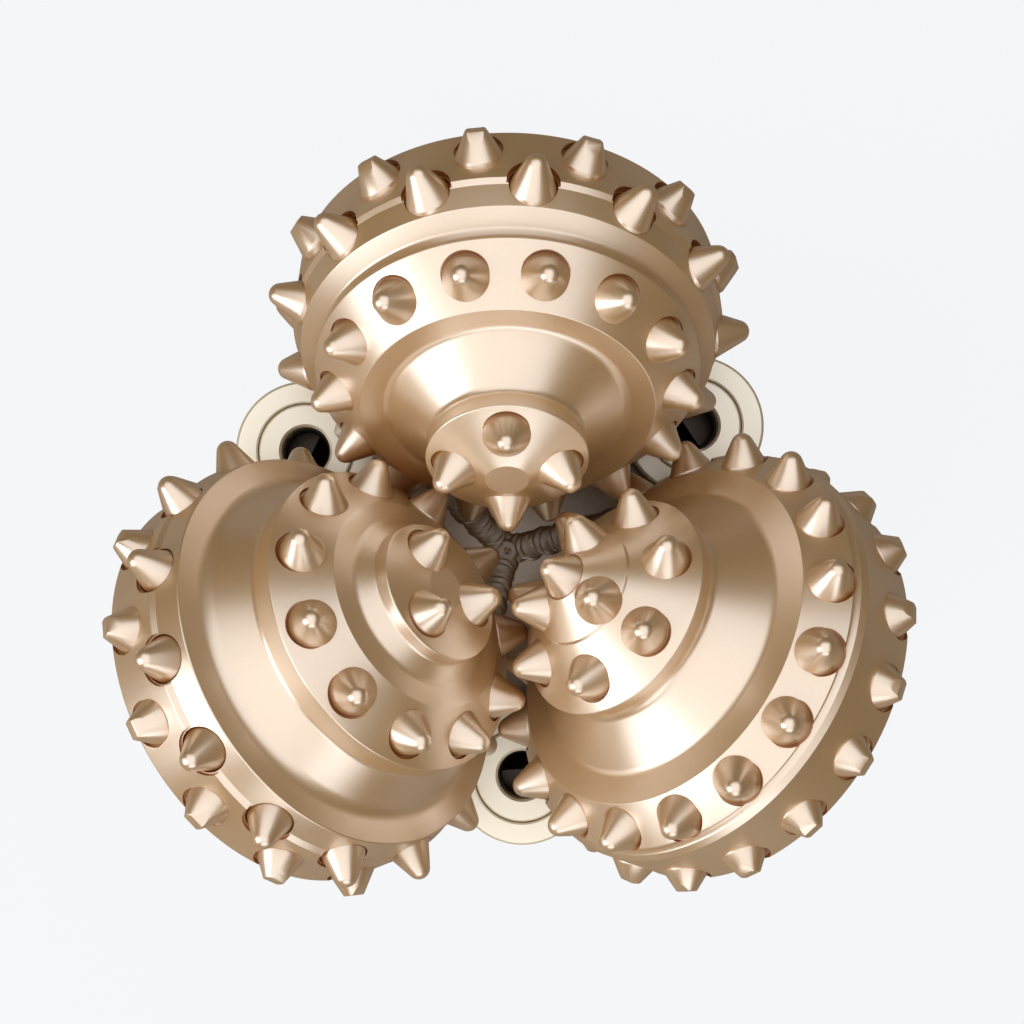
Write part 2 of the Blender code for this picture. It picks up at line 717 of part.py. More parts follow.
def cone_mesh(shape):
    """A cone shell with its rows of inserts pressed in."""
    cone = place(revolve(cone_profile(shape), CONE_STEPS, name="shell"), "shell", None, None)
    for row in [*shape["rows"], shape["gauge_row"]]:
        along, radius, lean, length, crest = row_seat(shape, row)
        bm = bmesh.new()
        for number in range(row["count"]):
            turn = math.radians(row["turn"]) + 2.0 * math.pi * number / row["count"]
            add_insert(bm, insert_matrix(along, radius, lean, turn), length, crest)
        boolean(cone, cutter_from(mesh_from(bm, "row")), "UNION")
    mesh = cone.data
    bpy.data.objects.remove(cone, do_unlink=True)
    clean(mesh, FLAT)
    return mesh


def tube_mesh(inner, outer, low, high, steps, name):
    """A plain tube about Z."""
    profile = [(inner, low), (outer, low), (outer, high), (inner, high)]
    return revolve(profile, steps, name=name)


def ring_mesh(circle, section, height, steps, name):
    """A round ring of round section about Z."""
    profile = arc_points((circle, height), section, 0.0, 2.0 * math.pi, SEAL_SIDES)[:-1]
    return revolve(profile, steps, name=name)


def ball_ring_mesh():
    """The full ring of bearing balls, joined where each ball touches the next."""
    half_turn = math.pi / BALL_COUNT
    offset = 0.4 * half_turn
    shoulder = math.sqrt(BALL_RADIUS**2 - (BALL_CIRCLE * offset) ** 2)
    stations = [(-half_turn, BALL_NECK_RADIUS), (-offset, shoulder), (offset, shoulder)]
    bm = bmesh.new()
    loops = []
    for number in range(BALL_COUNT):
        for shift, radius in stations:
            turn = 2.0 * half_turn * number + shift
            section = arc_points((BALL_CIRCLE, RACE_CENTRE), radius, 0.0, 2.0 * math.pi, BALL_SIDES)
            loop = [(r * math.cos(turn), r * math.sin(turn), z) for r, z in section[:-1]]
            loops.append([bm.verts.new(point) for point in loop])
    for one, other in zip(loops, loops[1:] + loops[:1]):
        for i in range(BALL_SIDES):
            j = (i + 1) % BALL_SIDES
            bm.faces.new((one[i], one[j], other[j], other[i]))
    return mesh_from(bm, "ball_ring")


def ball_plug_mesh():
    """The plug that keeps the balls in: a nose at the race, a waist for grease, a long head."""
    start = plug_point(FLANGE_FACE + 0.0004)
    end = plug_point(plug_end())
    axis = end - start
    length = axis.length
    step = PLUG_RADIUS - PLUG_WAIST_RADIUS
    profile = [
        (0.0, 0.0),
        (PLUG_RADIUS, 0.0),
        (PLUG_RADIUS, PLUG_NOSE),
        (PLUG_WAIST_RADIUS, PLUG_NOSE + step),
        (PLUG_WAIST_RADIUS, length - PLUG_HEAD - step),
        (PLUG_RADIUS, length - PLUG_HEAD),
        (PLUG_RADIUS, length - PLUG_CHAMFER),
        (PLUG_RADIUS - PLUG_CHAMFER, length),
        (0.0, length),
    ]
    mesh = revolve(profile, DRILL_SIDES, name="ball_plug")
    mesh.transform(Matrix.Translation(start) @ axis.to_track_quat("Z", "Y").to_matrix().to_4x4())
    return mesh


def nozzle_mesh():
    """The hard jet nozzle: a wide mouth below that narrows to its throat."""
    low = GAP - NOZZLE_POCKET_DEPTH
    high = -RETAINER_LENGTH - GAP
    throat = high - 0.25 * (high - low)
    profile = [
        (NOZZLE_MOUTH, low),
        (NOZZLE_RADIUS, low),
        (NOZZLE_RADIUS, high),
        (NOZZLE_THROAT, high),
        (NOZZLE_THROAT, throat),
    ]
    return revolve(profile, BOSS_STEPS, name="nozzle")


def reservoir_meshes():
    """The lock ring, cap, canister and diaphragm of a grease reservoir, outside first."""
    ring_low = SPOT_FACE_DEPTH + LOCK_GROOVE_START + GAP
    ring_high = ring_low + LOCK_RING_THICKNESS
    ring_outer = LOCK_GROOVE_RADIUS - GAP
    ring_inner = ring_outer - LOCK_RING_WIDTH
    ring_outline = [
        (ring_inner, ring_low),
        (ring_outer, ring_low),
        (ring_outer, ring_high),
        (ring_inner, ring_high),
    ]
    turn = 2.0 * math.pi - LOCK_RING_OPENING
    steps = round(RESERVOIR_STEPS * turn / (2.0 * math.pi))
    lock_ring = revolve(ring_outline, steps, LOCK_RING_OPENING / 2.0, turn, "lock_ring")
    cap_low = ring_high + GAP
    cap_high = cap_low + CAP_THICKNESS
    cap_outline = [
        (CAP_VENT_RADIUS, cap_low + CAP_DISH_DEPTH),
        (CAP_DISH_RADIUS - CAP_DISH_DEPTH, cap_low + CAP_DISH_DEPTH),
        (CAP_DISH_RADIUS, cap_low),
        (POCKET_RADIUS - GAP, cap_low),
        (POCKET_RADIUS - GAP, cap_high),
        (CAP_VENT_RADIUS, cap_high),
    ]
    cap = revolve(cap_outline, RESERVOIR_STEPS, name="reservoir_cap")
    low = cap_high + GAP
    high = low + CANISTER_LENGTH
    inner = POCKET_RADIUS - GAP - CANISTER_WALL
    canister_outline = [
        (inner, low),
        (POCKET_RADIUS - GAP, low),
        (POCKET_RADIUS - GAP, high),
        (CANISTER_PORT_RADIUS, high),
        (CANISTER_PORT_RADIUS, high - CANISTER_WALL),
        (inner, high - CANISTER_WALL),
    ]
    canister = revolve(canister_outline, RESERVOIR_STEPS, name="reservoir_canister")
    cup = inner - GAP
    cup_end = low + DIAPHRAGM_LENGTH
    diaphragm_outline = [
        (cup - DIAPHRAGM_WALL, low),
        (cup, low),
        (cup, cup_end),
        (0.0, cup_end),
        (0.0, cup_end - DIAPHRAGM_WALL),
        (cup - DIAPHRAGM_WALL, cup_end - DIAPHRAGM_WALL),
    ]
    diaphragm = revolve(diaphragm_outline, RESERVOIR_STEPS, name="reservoir_diaphragm")
    return lock_ring, cap, canister, diaphragm


def build():
    """Make the bit: three legs with their cones, bearings, nozzles and grease reservoirs."""
    clear_scene()
    finish = make_finishes()
    gold = finish["gold_paint"]
    steel = finish["bearing_steel"]
    bronze = finish["bearing_bronze"]
    rubber = finish["seal_rubber"]
    leg = leg_mesh()
    bushing_inner = JOURNAL_RADIUS + RUNNING_GAP
    bushing_end = SEAL_BOSS_START - RUNNING_GAP
    bushing_outer = bushing_inner + BUSHING_WALL
    bushing = tube_mesh(bushing_inner, bushing_outer, FLANGE_FACE, bushing_end, CONE_STEPS, "bushing")
    pilot_inner = PILOT_RADIUS + RUNNING_GAP
    pilot_outer = pilot_inner + PILOT_BUSHING_WALL
    pilot_low = cavity_floor() + RUNNING_GAP
    pilot_high = THRUST_FACE - 2.0 * RUNNING_GAP
    pilot = tube_mesh(pilot_inner, pilot_outer, pilot_low, pilot_high, CONE_STEPS, "pilot_bushing")
    washer_radius = PILOT_RADIUS - RUNNING_GAP
    washer_high = pilot_low + WASHER_THICKNESS
    washer_outline = [(0.0, pilot_low), (washer_radius, pilot_low), (washer_radius, washer_high)]
    washer = revolve([*washer_outline, (0.0, washer_high)], JOURNAL_STEPS, name="thrust_washer")
    balls = ball_ring_mesh()
    plug = ball_plug_mesh()
    seal_place = BACK_FACE - SEAL_SECTION
    seal_circle = SEAL_BOSS_RADIUS + RUNNING_GAP + SEAL_SECTION
    seal = ring_mesh(seal_circle, SEAL_SECTION, seal_place, CONE_STEPS, "cone_seal")
    retainer = tube_mesh(
        RETAINER_BORE, RETAINER_RADIUS, GAP - RETAINER_LENGTH, 0.0, BOSS_STEPS, "nozzle_retainer"
    )
    nozzle = nozzle_mesh()
    ring_circle = NOZZLE_RADIUS + GAP + RING_SECTION
    ring_place = RING_HEIGHT - NOZZLE_POCKET_DEPTH
    o_ring = ring_mesh(ring_circle, RING_SECTION, ring_place, BOSS_STEPS, "nozzle_o_ring")
    lock_ring, cap, canister, diaphragm = reservoir_meshes()
    mouth, lean = reservoir_place()
    bit = frame("bit", None, (0.0, 0.0, 0.0), (0.0, 0.0, 0.0))
    for tag, turn in LEG_TURNS.items():
        leg_frame = frame(f"leg_frame_{tag}", bit, (0.0, 0.0, 0.0), (0.0, 0.0, math.radians(turn)))
        journal = frame(f"journal_frame_{tag}", leg_frame, (0.0, 0.0, 0.0), (0.0, 0.0, 0.0))
        journal.matrix_local = journal_matrix()
        jet = frame(f"nozzle_frame_{tag}", leg_frame, nozzle_place(), (0.0, 0.0, 0.0))
        reservoir = frame(f"reservoir_frame_{tag}", leg_frame, mouth, (0.0, lean, 0.0))
        place(leg, f"leg_{tag}", leg_frame, gold, 32.0)
        place(cone_mesh(CONE_SHAPES[tag]), f"cone_{tag}", journal, gold, 32.0)
        place(bushing, f"journal_bushing_{tag}", journal, bronze, 32.0)
        place(pilot, f"pilot_bushing_{tag}", journal, bronze, 32.0)
        place(washer, f"thrust_washer_{tag}", journal, bronze, 32.0)
        place(balls, f"ball_ring_{tag}", journal, steel, 60.0)
        place(plug, f"ball_plug_{tag}", journal, steel, 32.0)
        place(seal, f"cone_seal_{tag}", journal, rubber, 60.0)
        place(retainer, f"nozzle_retainer_{tag}", jet, gold, 32.0)
        place(nozzle, f"nozzle_{tag}", jet, finish["carbide"], 32.0)
        place(o_ring, f"nozzle_o_ring_{tag}", jet, rubber, 60.0)
        place(lock_ring, f"reservoir_lock_ring_{tag}", reservoir, finish["zinc_steel"], 32.0)
        place(cap, f"reservoir_cap_{tag}", reservoir, gold, 32.0)
        place(canister, f"reservoir_canister_{tag}", reservoir, steel, 32.0)
        place(diaphragm, f"reservoir_diaphragm_{tag}", reservoir, rubber, 32.0)


build()
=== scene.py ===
# %% [markdown]
# # A three-cone rotary drill bit
# The bit is seen from above its cutting end: three cones studded with pressed-in inserts run in
# each other's grooves, and three round nozzle bosses stand in the corners between them. Everything
# is sprayed with one satin gold paint. Each piece is turned, cut and pressed together here in the
# way that the real one is made, on top of the engineering solids, which stay as the fixed frame.

# %% Load the solids
import math

import bpy
from mathutils import Euler, Matrix, Vector


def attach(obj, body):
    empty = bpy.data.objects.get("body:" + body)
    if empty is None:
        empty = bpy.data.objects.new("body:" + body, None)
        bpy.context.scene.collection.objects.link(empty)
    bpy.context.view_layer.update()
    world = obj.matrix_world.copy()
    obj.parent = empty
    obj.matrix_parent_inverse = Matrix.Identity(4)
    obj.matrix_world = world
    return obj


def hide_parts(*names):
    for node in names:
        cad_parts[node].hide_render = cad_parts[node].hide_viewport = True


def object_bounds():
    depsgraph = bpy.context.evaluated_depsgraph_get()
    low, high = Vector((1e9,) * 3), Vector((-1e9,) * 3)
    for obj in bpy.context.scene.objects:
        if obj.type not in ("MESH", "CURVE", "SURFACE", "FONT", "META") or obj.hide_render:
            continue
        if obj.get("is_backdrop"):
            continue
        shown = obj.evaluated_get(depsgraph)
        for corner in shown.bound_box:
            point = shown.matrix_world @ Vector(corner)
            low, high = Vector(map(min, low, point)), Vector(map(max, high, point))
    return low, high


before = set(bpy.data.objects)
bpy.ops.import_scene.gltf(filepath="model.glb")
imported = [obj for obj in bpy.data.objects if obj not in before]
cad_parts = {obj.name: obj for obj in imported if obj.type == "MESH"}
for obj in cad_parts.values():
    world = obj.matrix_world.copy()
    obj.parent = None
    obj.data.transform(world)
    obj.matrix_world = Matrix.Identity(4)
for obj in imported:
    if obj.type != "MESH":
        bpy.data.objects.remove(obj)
cad_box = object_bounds()

# %% [markdown]
# ## The sizes that the pieces share
# A cone leans in towards the bit's axis on its journal. The journal's frame has Z down the journal,
# from the bit's axis outwards, and X towards the hole bottom, so a cone can be turned about plain Z
# and then put in its place by one matrix. All three legs are the same, a third of a turn apart.

# %% Shared sizes
MM = 0.001
GAUGE = 107.95 * MM
JOURNAL_ANGLE = math.radians(36.5)
JOURNAL_OFFSET = 0.8 * MM
APEX = 250.0 * MM
LEG_TURNS = {"a": 90.0, "b": 210.0, "c": 330.0}


def leg_place(tag):
    """The turn of one leg about the bit's axis."""
    return Matrix.Rotation(math.radians(LEG_TURNS[tag]), 4, "Z")


def journal_place(tag=None):
    """The frame of one journal, or of a journal inside its leg's frame."""
    lean = Euler((math.pi, JOURNAL_ANGLE - math.pi / 2.0, 0.0)).to_matrix().to_4x4()
    inside = Matrix.Translation((0.0, JOURNAL_OFFSET, APEX)) @ lean
    return leg_place(tag) @ inside if tag else inside


print("journal a starts at", [round(v, 4) for v in journal_place("a").translation])

# %% [markdown]
# ## A few hand tools
# Blender's operators act on what is selected, so each helper starts from an empty selection. Most
# pieces of a drill bit are turned on a lathe: an outline is drawn point by point with extrude, and
# spun about Z. A part turn makes a wedge. A cut or a weld is a Boolean, applied at once.

# %% Selecting and applying
def leave_edit():
    """Back to object mode with nothing selected."""
    if bpy.context.mode != "OBJECT":
        bpy.ops.object.mode_set(mode="OBJECT")
    bpy.ops.object.select_all(action="DESELECT")


def only(piece):
    """Make one piece the only selected and active one."""
    leave_edit()
    piece.select_set(True)
    bpy.context.view_layer.objects.active = piece


def edit(piece):
    """Open one piece for editing with nothing picked."""
    only(piece)
    bpy.ops.object.mode_set(mode="EDIT")
    bpy.ops.mesh.select_mode(type="VERT")
    bpy.ops.mesh.select_all(action="DESELECT")


def apply_all(piece):
    """Apply every modifier of a piece, in order."""
    only(piece)
    for modifier in list(piece.modifiers):
        bpy.ops.object.modifier_apply(modifier=modifier.name)


def put(piece, matrix):
    """Move a piece by a matrix and press the place into its mesh."""
    only(piece)
    piece.matrix_world = matrix @ piece.matrix_world
    bpy.ops.object.transform_apply(location=True, rotation=True, scale=True)


# %% Turning on the lathe
MERGE = 0.004 * MM


def close_skin():
    """Merge the points that meet and turn every face outwards."""
    bpy.ops.mesh.select_all(action="SELECT")
    bpy.ops.mesh.remove_doubles(threshold=MERGE)
    bpy.ops.mesh.normals_make_consistent(inside=False)


def drawn(name, outline):
    """A line of points in the XZ plane, drawn by extruding one vertex from point to point."""
    leave_edit()
    bpy.ops.mesh.primitive_plane_add(size=MM)
    piece = bpy.context.object
    piece.name = name
    bpy.ops.object.mode_set(mode="EDIT")
    bpy.ops.mesh.select_all(action="SELECT")
    bpy.ops.mesh.merge(type="CENTER")
    bpy.ops.transform.translate(value=(outline[0][0], 0.0, outline[0][1]))
    for here, there in zip(outline, outline[1:]):
        step = (there[0] - here[0], 0.0, there[1] - here[1])
        bpy.ops.mesh.extrude_vertices_move(TRANSFORM_OT_translate={"value": step})
    return piece


def turned(name, outline, steps, matrix=None):
    """A turned piece: a closed outline of (radius, height) spun once about Z."""
    piece = drawn(name, outline)
    bpy.ops.mesh.select_all(action="SELECT")
    bpy.ops.mesh.spin(steps=steps, angle=2.0 * math.pi, center=(0, 0, 0), axis=(0, 0, 1))
    close_skin()
    leave_edit()
    if matrix is not None:
        put(piece, matrix)
    return piece


def filled(name, outline):
    """A flat face with an outline of (x, z), left open for editing."""
    piece = drawn(name, outline + outline[:1])
    bpy.ops.mesh.select_all(action="SELECT")
    bpy.ops.mesh.remove_doubles(threshold=MERGE)
    bpy.ops.mesh.select_all(action="SELECT")
    bpy.ops.mesh.edge_face_add()
    bpy.ops.mesh.select_all(action="SELECT")
    return piece


def wedge(name, outline, steps, start, angle):
    """A slice of a turned piece, with a flat face at each end."""
    piece = filled(name, outline)
    bpy.ops.mesh.spin(steps=steps, angle=-angle, center=(0, 0, 0), axis=(0, 0, 1))
    close_skin()
    leave_edit()
    put(piece, Matrix.Rotation(start, 4, "Z"))
    return piece


# %% Rounding an outline
def softened(points, radii=None, steps=4):
    """An outline in millimetres with chosen corners rounded, returned in metres."""
    radii = radii or {}
    soft = []
    for number, point in enumerate(points):
        corner = Vector(point)
        radius = radii.get(number, 0.0)
        if radius == 0.0 or number in (0, len(points) - 1):
            soft.append(corner)
            continue
        back = (Vector(points[number - 1]) - corner).normalized()
        on = (Vector(points[number + 1]) - corner).normalized()
        half = math.acos(max(-1.0, min(1.0, back.dot(on)))) / 2.0
        reach = radius / math.tan(half)
        centre = corner + (back + on).normalized() * (radius / math.sin(half))
        first = corner + back * reach - centre
        turn = first.angle_signed(corner + on * reach - centre)
        for i in range(steps + 1):
            spoke = first.copy()
            spoke.rotate(Matrix.Rotation(-turn * i / steps, 2))
            soft.append(centre + spoke)
    return [(p.x * MM, p.y * MM) for p in soft]


# %% Cutting and welding
def work(piece, cutter, operation):
    """Cut, weld or trim a piece with another one, which is used up."""
    only(piece)
    modifier = piece.modifiers.new(operation.lower(), "BOOLEAN")
    modifier.operation = operation
    modifier.solver = "EXACT"
    modifier.object = cutter
    bpy.ops.object.modifier_apply(modifier=modifier.name)
    bpy.data.objects.remove(cutter, do_unlink=True)


def copied(piece, name, matrix):
    """A copy with its own mesh, moved by a matrix."""
    only(piece)
    bpy.ops.object.duplicate(linked=False)
    copy = bpy.context.object
    copy.name = name
    put(copy, matrix)
    return copy


def joined(pieces, name):
    """Several pieces as one."""
    leave_edit()
    for piece in pieces:
        piece.select_set(True)
    bpy.context.view_layer.objects.active = pieces[0]
    if len(pieces) > 1:
        bpy.ops.object.join()
    pieces[0].name = name
    return pieces[0]


def smooth(piece, degrees=30.0):
    """Smooth shading, with edges sharper than an angle kept crisp."""
    only(piece)
    bpy.ops.object.shade_smooth_by_angle(angle=math.radians(degrees))


print("tools ready")

# %% [markdown]
# ## The cone shells
# A real cone is forged, turned outside and inside, drilled for its inserts and carburised. Its outside
# is a set of narrow conical lands that carry the inserts, with wide flat-bottomed coves between them.
# The coves are the room in which the next cone's rows run. The three cones carry different sets,
# because each row must fall into a neighbour's cove. The outline is drawn with round corners at the
# coves' bottoms and with small rounds at the lands' edges, since those thin edges are what catches
# the light on the real one.

# %% Cone sizes, in millimetres: along the journal and radius
# A row is its kind, its land or its lean, its count, its turn, its place across and its extra lean.
# A cove is its two bottom corners, each with its share of the way across, its depth and its fillet.
CONES = {
    "a": {
        "nose": 22.0,
        "lands": [((22.0, 5.7), (29.2, 21.5)), ((45.8, 39.3), (58.9, 52.1)), ((65.8, 56.0), (72.2, 57.5))],
        "coves": [[(0.14, 5.4, 3.0), (0.80, 5.9, 3.5)], [(0.10, 2.5, 0.8), (0.40, 2.9, 1.4)]],
        "ridge": (73.7, 58.5),
        "rows": [
            ("land", 0, 4, 1.4, 0.52, 5.0),
            ("land", 1, 14, 14.2, 0.50, 6.0),
            ("heel", 80.5, 13, 21.8, 0.5, 0.0),
        ],
        "gauge": (66.0, 13, 8.2, 0.58),
    },
    "b": {
        "nose": 24.0,
        "lands": [((24.0, 5.7), (26.4, 19.3)), ((35.0, 29.3), (45.0, 42.9)), ((65.2, 56.0), (72.5, 57.3))],
        "coves": [[(0.18, 2.6, 1.5), (0.60, 2.8, 3.5)], [(0.22, 5.0, 2.5), (0.76, 5.6, 6.0)]],
        "ridge": (74.1, 58.3),
        "rows": [
            ("land", 0, 3, 19.0, 0.38, 4.0),
            ("land", 1, 11, 18.6, 0.50, 9.0),
            ("heel", 96.0, 14, 5.6, 0.5, -4.0),
        ],
        "gauge": (76.0, 14, 18.7, 0.62),
    },
    "c": {
        "nose": 19.8,
        "lands": [((19.8, 6.4), (26.2, 15.9)), ((27.0, 16.2), (38.9, 30.9)), ((57.65, 48.6), (66.6, 58.3))],
        "coves": [[], [(0.11, 6.2, 3.5), (0.75, 5.2, 4.0)]],
        "rim": [(67.3, 57.6), (68.3, 58.1), (68.8, 58.7)],
        "ridge": (70.8, 59.5),
        "rows": [
            ("nose", 0, 1, 0.0, 0.0, 0.0),
            ("land", 0, 3, -4.0, 0.60, 0.0),
            ("land", 1, 7, 47.7, 0.50, 5.0),
            ("land", 2, 17, 17.9, 0.55, 11.0),
        ],
        "gauge": (72.0, 18, 17.7, 0.72),
    },
}
BACK_FACE = 94.9
BACK_EDGE = 57.5
BACK_BEVEL = 51.8
GAUGE_CLEARANCE = 0.65
GLAND = (36.4, 88.5)
MAIN_BORE = (31.0, 58.9)
RACE = (23.0, 52.0, 5.9)
RACE_LIP = 24.5
THRUST = 45.4
PILOT_BORE = (18.3, 34.3)
LAND_ROUND = 0.55


def cove(first, last, share, depth):
    """One bottom corner of a groove, at a share of the way across and a depth."""
    first, last = Vector(first), Vector(last)
    chord = last - first
    inward = Vector((-chord.y, chord.x)).normalized()
    if inward.x > 0.0:
        inward.negate()
    return tuple(first + chord * share + inward * depth)


def back_edge():
    """Where the cone's back edge comes just inside the gauge, as (radius, along)."""
    reach = GAUGE / MM - GAUGE_CLEARANCE - math.sin(JOURNAL_ANGLE) * BACK_EDGE
    return BACK_EDGE, reach / math.cos(JOURNAL_ANGLE)


def race_arc(land, steps=12):
    """The ball race's arc from the back to the nose, opening at a land's radius."""
    circle, along, radius = RACE
    start = math.acos((land - circle) / radius)
    turns = [start - 2.0 * start * i / steps for i in range(steps + 1)]
    return [(circle + radius * math.cos(a), along + radius * math.sin(a)) for a in turns]


def shell_outline(shape):
    """The cone's outline from its nose over the back face and into its bores."""
    points = [(0.0, shape["nose"])]
    rounds = {}
    for number, (first, last) in enumerate(shape["lands"]):
        start, end = (first[1], first[0]), (last[1], last[0])
        edge = points[-1]
        for share, depth, fillet in shape["coves"][number - 1] if number else []:
            rounds[len(points)] = fillet
            points.append(cove(edge, start, share, depth))
        rounds[len(points)] = LAND_ROUND
        rounds[len(points) + 1] = LAND_ROUND
        points += [start, end]
    points += [(radius, along) for along, radius in shape.get("rim", [])]
    for corner, size in (((shape["ridge"][1], shape["ridge"][0]), 0.5), (back_edge(), 0.8)):
        rounds[len(points)] = size
        points.append(corner)
    points += [(BACK_BEVEL, BACK_FACE), (GLAND[0], BACK_FACE), GLAND, (MAIN_BORE[0], GLAND[1])]
    points += [MAIN_BORE, (RACE_LIP, MAIN_BORE[1]), *race_arc(RACE_LIP), (RACE_LIP, THRUST)]
    points += [(PILOT_BORE[0], THRUST), PILOT_BORE, (0.0, PILOT_BORE[1])]
    return softened(points, rounds, 7)


print("shell outlines:", {tag: len(shell_outline(shape)) for tag, shape in CONES.items()}, "points")

# %% [markdown]
# ## The inserts
# The cones cut with pressed-in carbide inserts of 12.7 mm. Those on the lands and the heel are cones
# with a round tip. Those on the gauge are cones with two flats ground on, which meet in a short
# crest. Each insert stands in a drilled hole, square to its land or leaning outwards by a few
# degrees, and the heel's holes have a spot face. A row's insert is modelled once, copied round the
# cone and turned into its place. The row's holes are drilled by one Boolean, so that no two cutters
# that cross each other meet in one cut.

# %% Insert sizes, in millimetres
INSERT_RADIUS = 6.35
INSERT_DEPTH = 4.0
INSERT_LENGTH = 7.9
LAND_START, HEEL_START, GAUGE_START = -0.6, -2.0, -1.0
TIP_ROUND = 3.1
CREST_HALF_LENGTH = 2.7
CREST_HALF_WIDTH = 1.5
HOLE_RADIUS = 6.4
SINK_RADIUS = 6.7
SPOT_RADIUS, SPOT_DEPTH = 6.95, 0.8
CREST_CORNER = 3.8
GAUGE_HAIR = 0.12
FLAT_RISE = 0.8


def seat(shape, row):
    """A row's seat on its cone: along, radius and lean from the journal, in millimetres."""
    kind, which, _, _, share, lean = row
    ridge = Vector((shape["ridge"][0], shape["ridge"][1]))
    if kind == "nose":
        return shape["nose"], 0.0, math.pi
    if kind == "land":
        first, last = (Vector(end) for end in shape["lands"][which])
        point = first.lerp(last, share)
        run = last - first
        return point.x, point.y, math.atan2(run.x, -run.y) - math.radians(lean)
    if kind == "heel":
        point = Vector(shape["lands"][-1][1]).lerp(ridge, share)
        return point.x, point.y, math.radians(which + lean)
    radius, along = back_edge()
    point = ridge.lerp(Vector((along, radius)), share)
    return point.x, point.y, math.radians(which)


def stands(place, turn):
    """The matrix that stands an insert in its seat at a turn round the cone."""
    along, radius, lean = place
    outward = Vector((math.cos(turn), -math.sin(turn), 0.0))
    side = Vector((math.sin(turn), math.cos(turn), 0.0))
    axis = outward * math.sin(lean) + Vector((0.0, 0.0, math.cos(lean)))
    matrix = Matrix((side.cross(axis), side, axis)).transposed().to_4x4()
    matrix.translation = (outward * radius + Vector((0.0, 0.0, along))) * MM
    return matrix


def turns_of(row):
    """The turns at which a row's inserts stand."""
    return [math.radians(row[3]) + 2.0 * math.pi * i / row[2] for i in range(row[2])]


def cone_insert(low):
    """One insert with a round tip, whose cone starts at a height below the seat."""
    centre = INSERT_LENGTH - TIP_ROUND
    across, rise = INSERT_RADIUS, centre - low
    lean = math.atan2(rise, across) + math.asin(TIP_ROUND / math.hypot(across, rise))
    start = math.pi / 2.0 - lean
    points = [(0.0, -INSERT_DEPTH), (INSERT_RADIUS, -INSERT_DEPTH), (INSERT_RADIUS, low)]
    for i in range(7):
        turn = start + (math.pi / 2.0 - start) * i / 6.0
        points.append((TIP_ROUND * math.cos(turn), centre + TIP_ROUND * math.sin(turn)))
    points[-1] = (0.0, INSERT_LENGTH)
    return turned("cone_insert", softened(points, {2: 0.35}, 2), 40)


def crest_length(place):
    """The length that brings a gauge insert's crest out to the gauge, a hair inside it."""
    along, radius, lean = place
    reach = math.sqrt((GAUGE / MM) ** 2 - CREST_CORNER**2) - GAUGE_HAIR
    base = math.cos(JOURNAL_ANGLE) * along + math.sin(JOURNAL_ANGLE) * radius
    crest = CREST_HALF_WIDTH * math.sin(abs(lean - JOURNAL_ANGLE))
    return (reach - base - crest) / math.cos(lean - JOURNAL_ANGLE)


def chisel_insert(length):
    """One gauge insert: a cone with two flats ground towards a short crest."""
    points = [(0.0, -INSERT_DEPTH), (INSERT_RADIUS, -INSERT_DEPTH), (INSERT_RADIUS, GAUGE_START)]
    points += [(CREST_HALF_LENGTH, length), (0.0, length)]
    piece = turned("chisel_insert", softened(points, {2: 0.4}, 2), 40)
    edit(piece)
    for side in (-1.0, 1.0):
        rise = length - FLAT_RISE
        fall = INSERT_RADIUS - CREST_HALF_WIDTH
        normal = Vector((side * rise, 0.0, fall)).normalized()
        bpy.ops.mesh.select_all(action="SELECT")
        bpy.ops.mesh.bisect(
            plane_co=(side * CREST_HALF_WIDTH * MM, 0.0, length * MM),
            plane_no=normal,
            clear_outer=True,
            use_fill=True,
        )
    close_skin()
    leave_edit()
    bevel = piece.modifiers.new("ground_edges", "BEVEL")
    bevel.width = 0.4 * MM
    bevel.segments = 2
    bevel.limit_method = "ANGLE"
    bevel.angle_limit = math.radians(24.0)
    apply_all(piece)
    return piece


# %% Turning, drilling and studding the three cones
def drill_for(kind):
    """The drill of one hole: deeply stepped for a heel insert, by a hair for the others."""
    if kind == "heel":
        bore = [(0.0, 9.0), (SPOT_RADIUS, 9.0), (SPOT_RADIUS, -SPOT_DEPTH), (HOLE_RADIUS, -SPOT_DEPTH)]
    else:
        bore = [(0.0, 3.0), (SINK_RADIUS, 3.0), (SINK_RADIUS, 0.0), (HOLE_RADIUS - 0.3, -0.5)]
    bore += [(bore[-1][0], -3.0), (0.0, -3.0)]
    return turned("drill", softened(bore), 40)


def insert_for(kind, place):
    """The insert that a row takes."""
    if kind == "gauge":
        return chisel_insert(crest_length(place))
    return cone_insert(HEEL_START if kind == "heel" else LAND_START)


cones = {}
for tag, shape in CONES.items():
    shell = turned(f"cone_{tag}_shell", shell_outline(shape), 144)
    studs = []
    for row in [*shape["rows"], ("gauge", *shape["gauge"], 0.0)]:
        place = seat(shape, row)
        drill, insert = drill_for(row[0]), insert_for(row[0], place)
        drills = []
        for turn in turns_of(row):
            drills.append(copied(drill, "drill", stands(place, turn)))
            studs.append(copied(insert, "stud", stands(place, turn)))
        for spare in (drill, insert):
            bpy.data.objects.remove(spare, do_unlink=True)
        work(shell, joined(drills, "drills"), "DIFFERENCE")
    smooth(shell, 24.0)
    inserts = joined(studs, f"cone_{tag}_inserts")
    smooth(inserts, 32.0)
    for piece in (shell, inserts):
        put(piece, journal_place(tag))
        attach(piece, f"cone_{tag}_body")
        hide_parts(f"cone_{tag}")
    cones[tag] = (shell, inserts)
    print(tag, "shell", len(shell.data.polygons), "faces,", len(studs), "inserts")

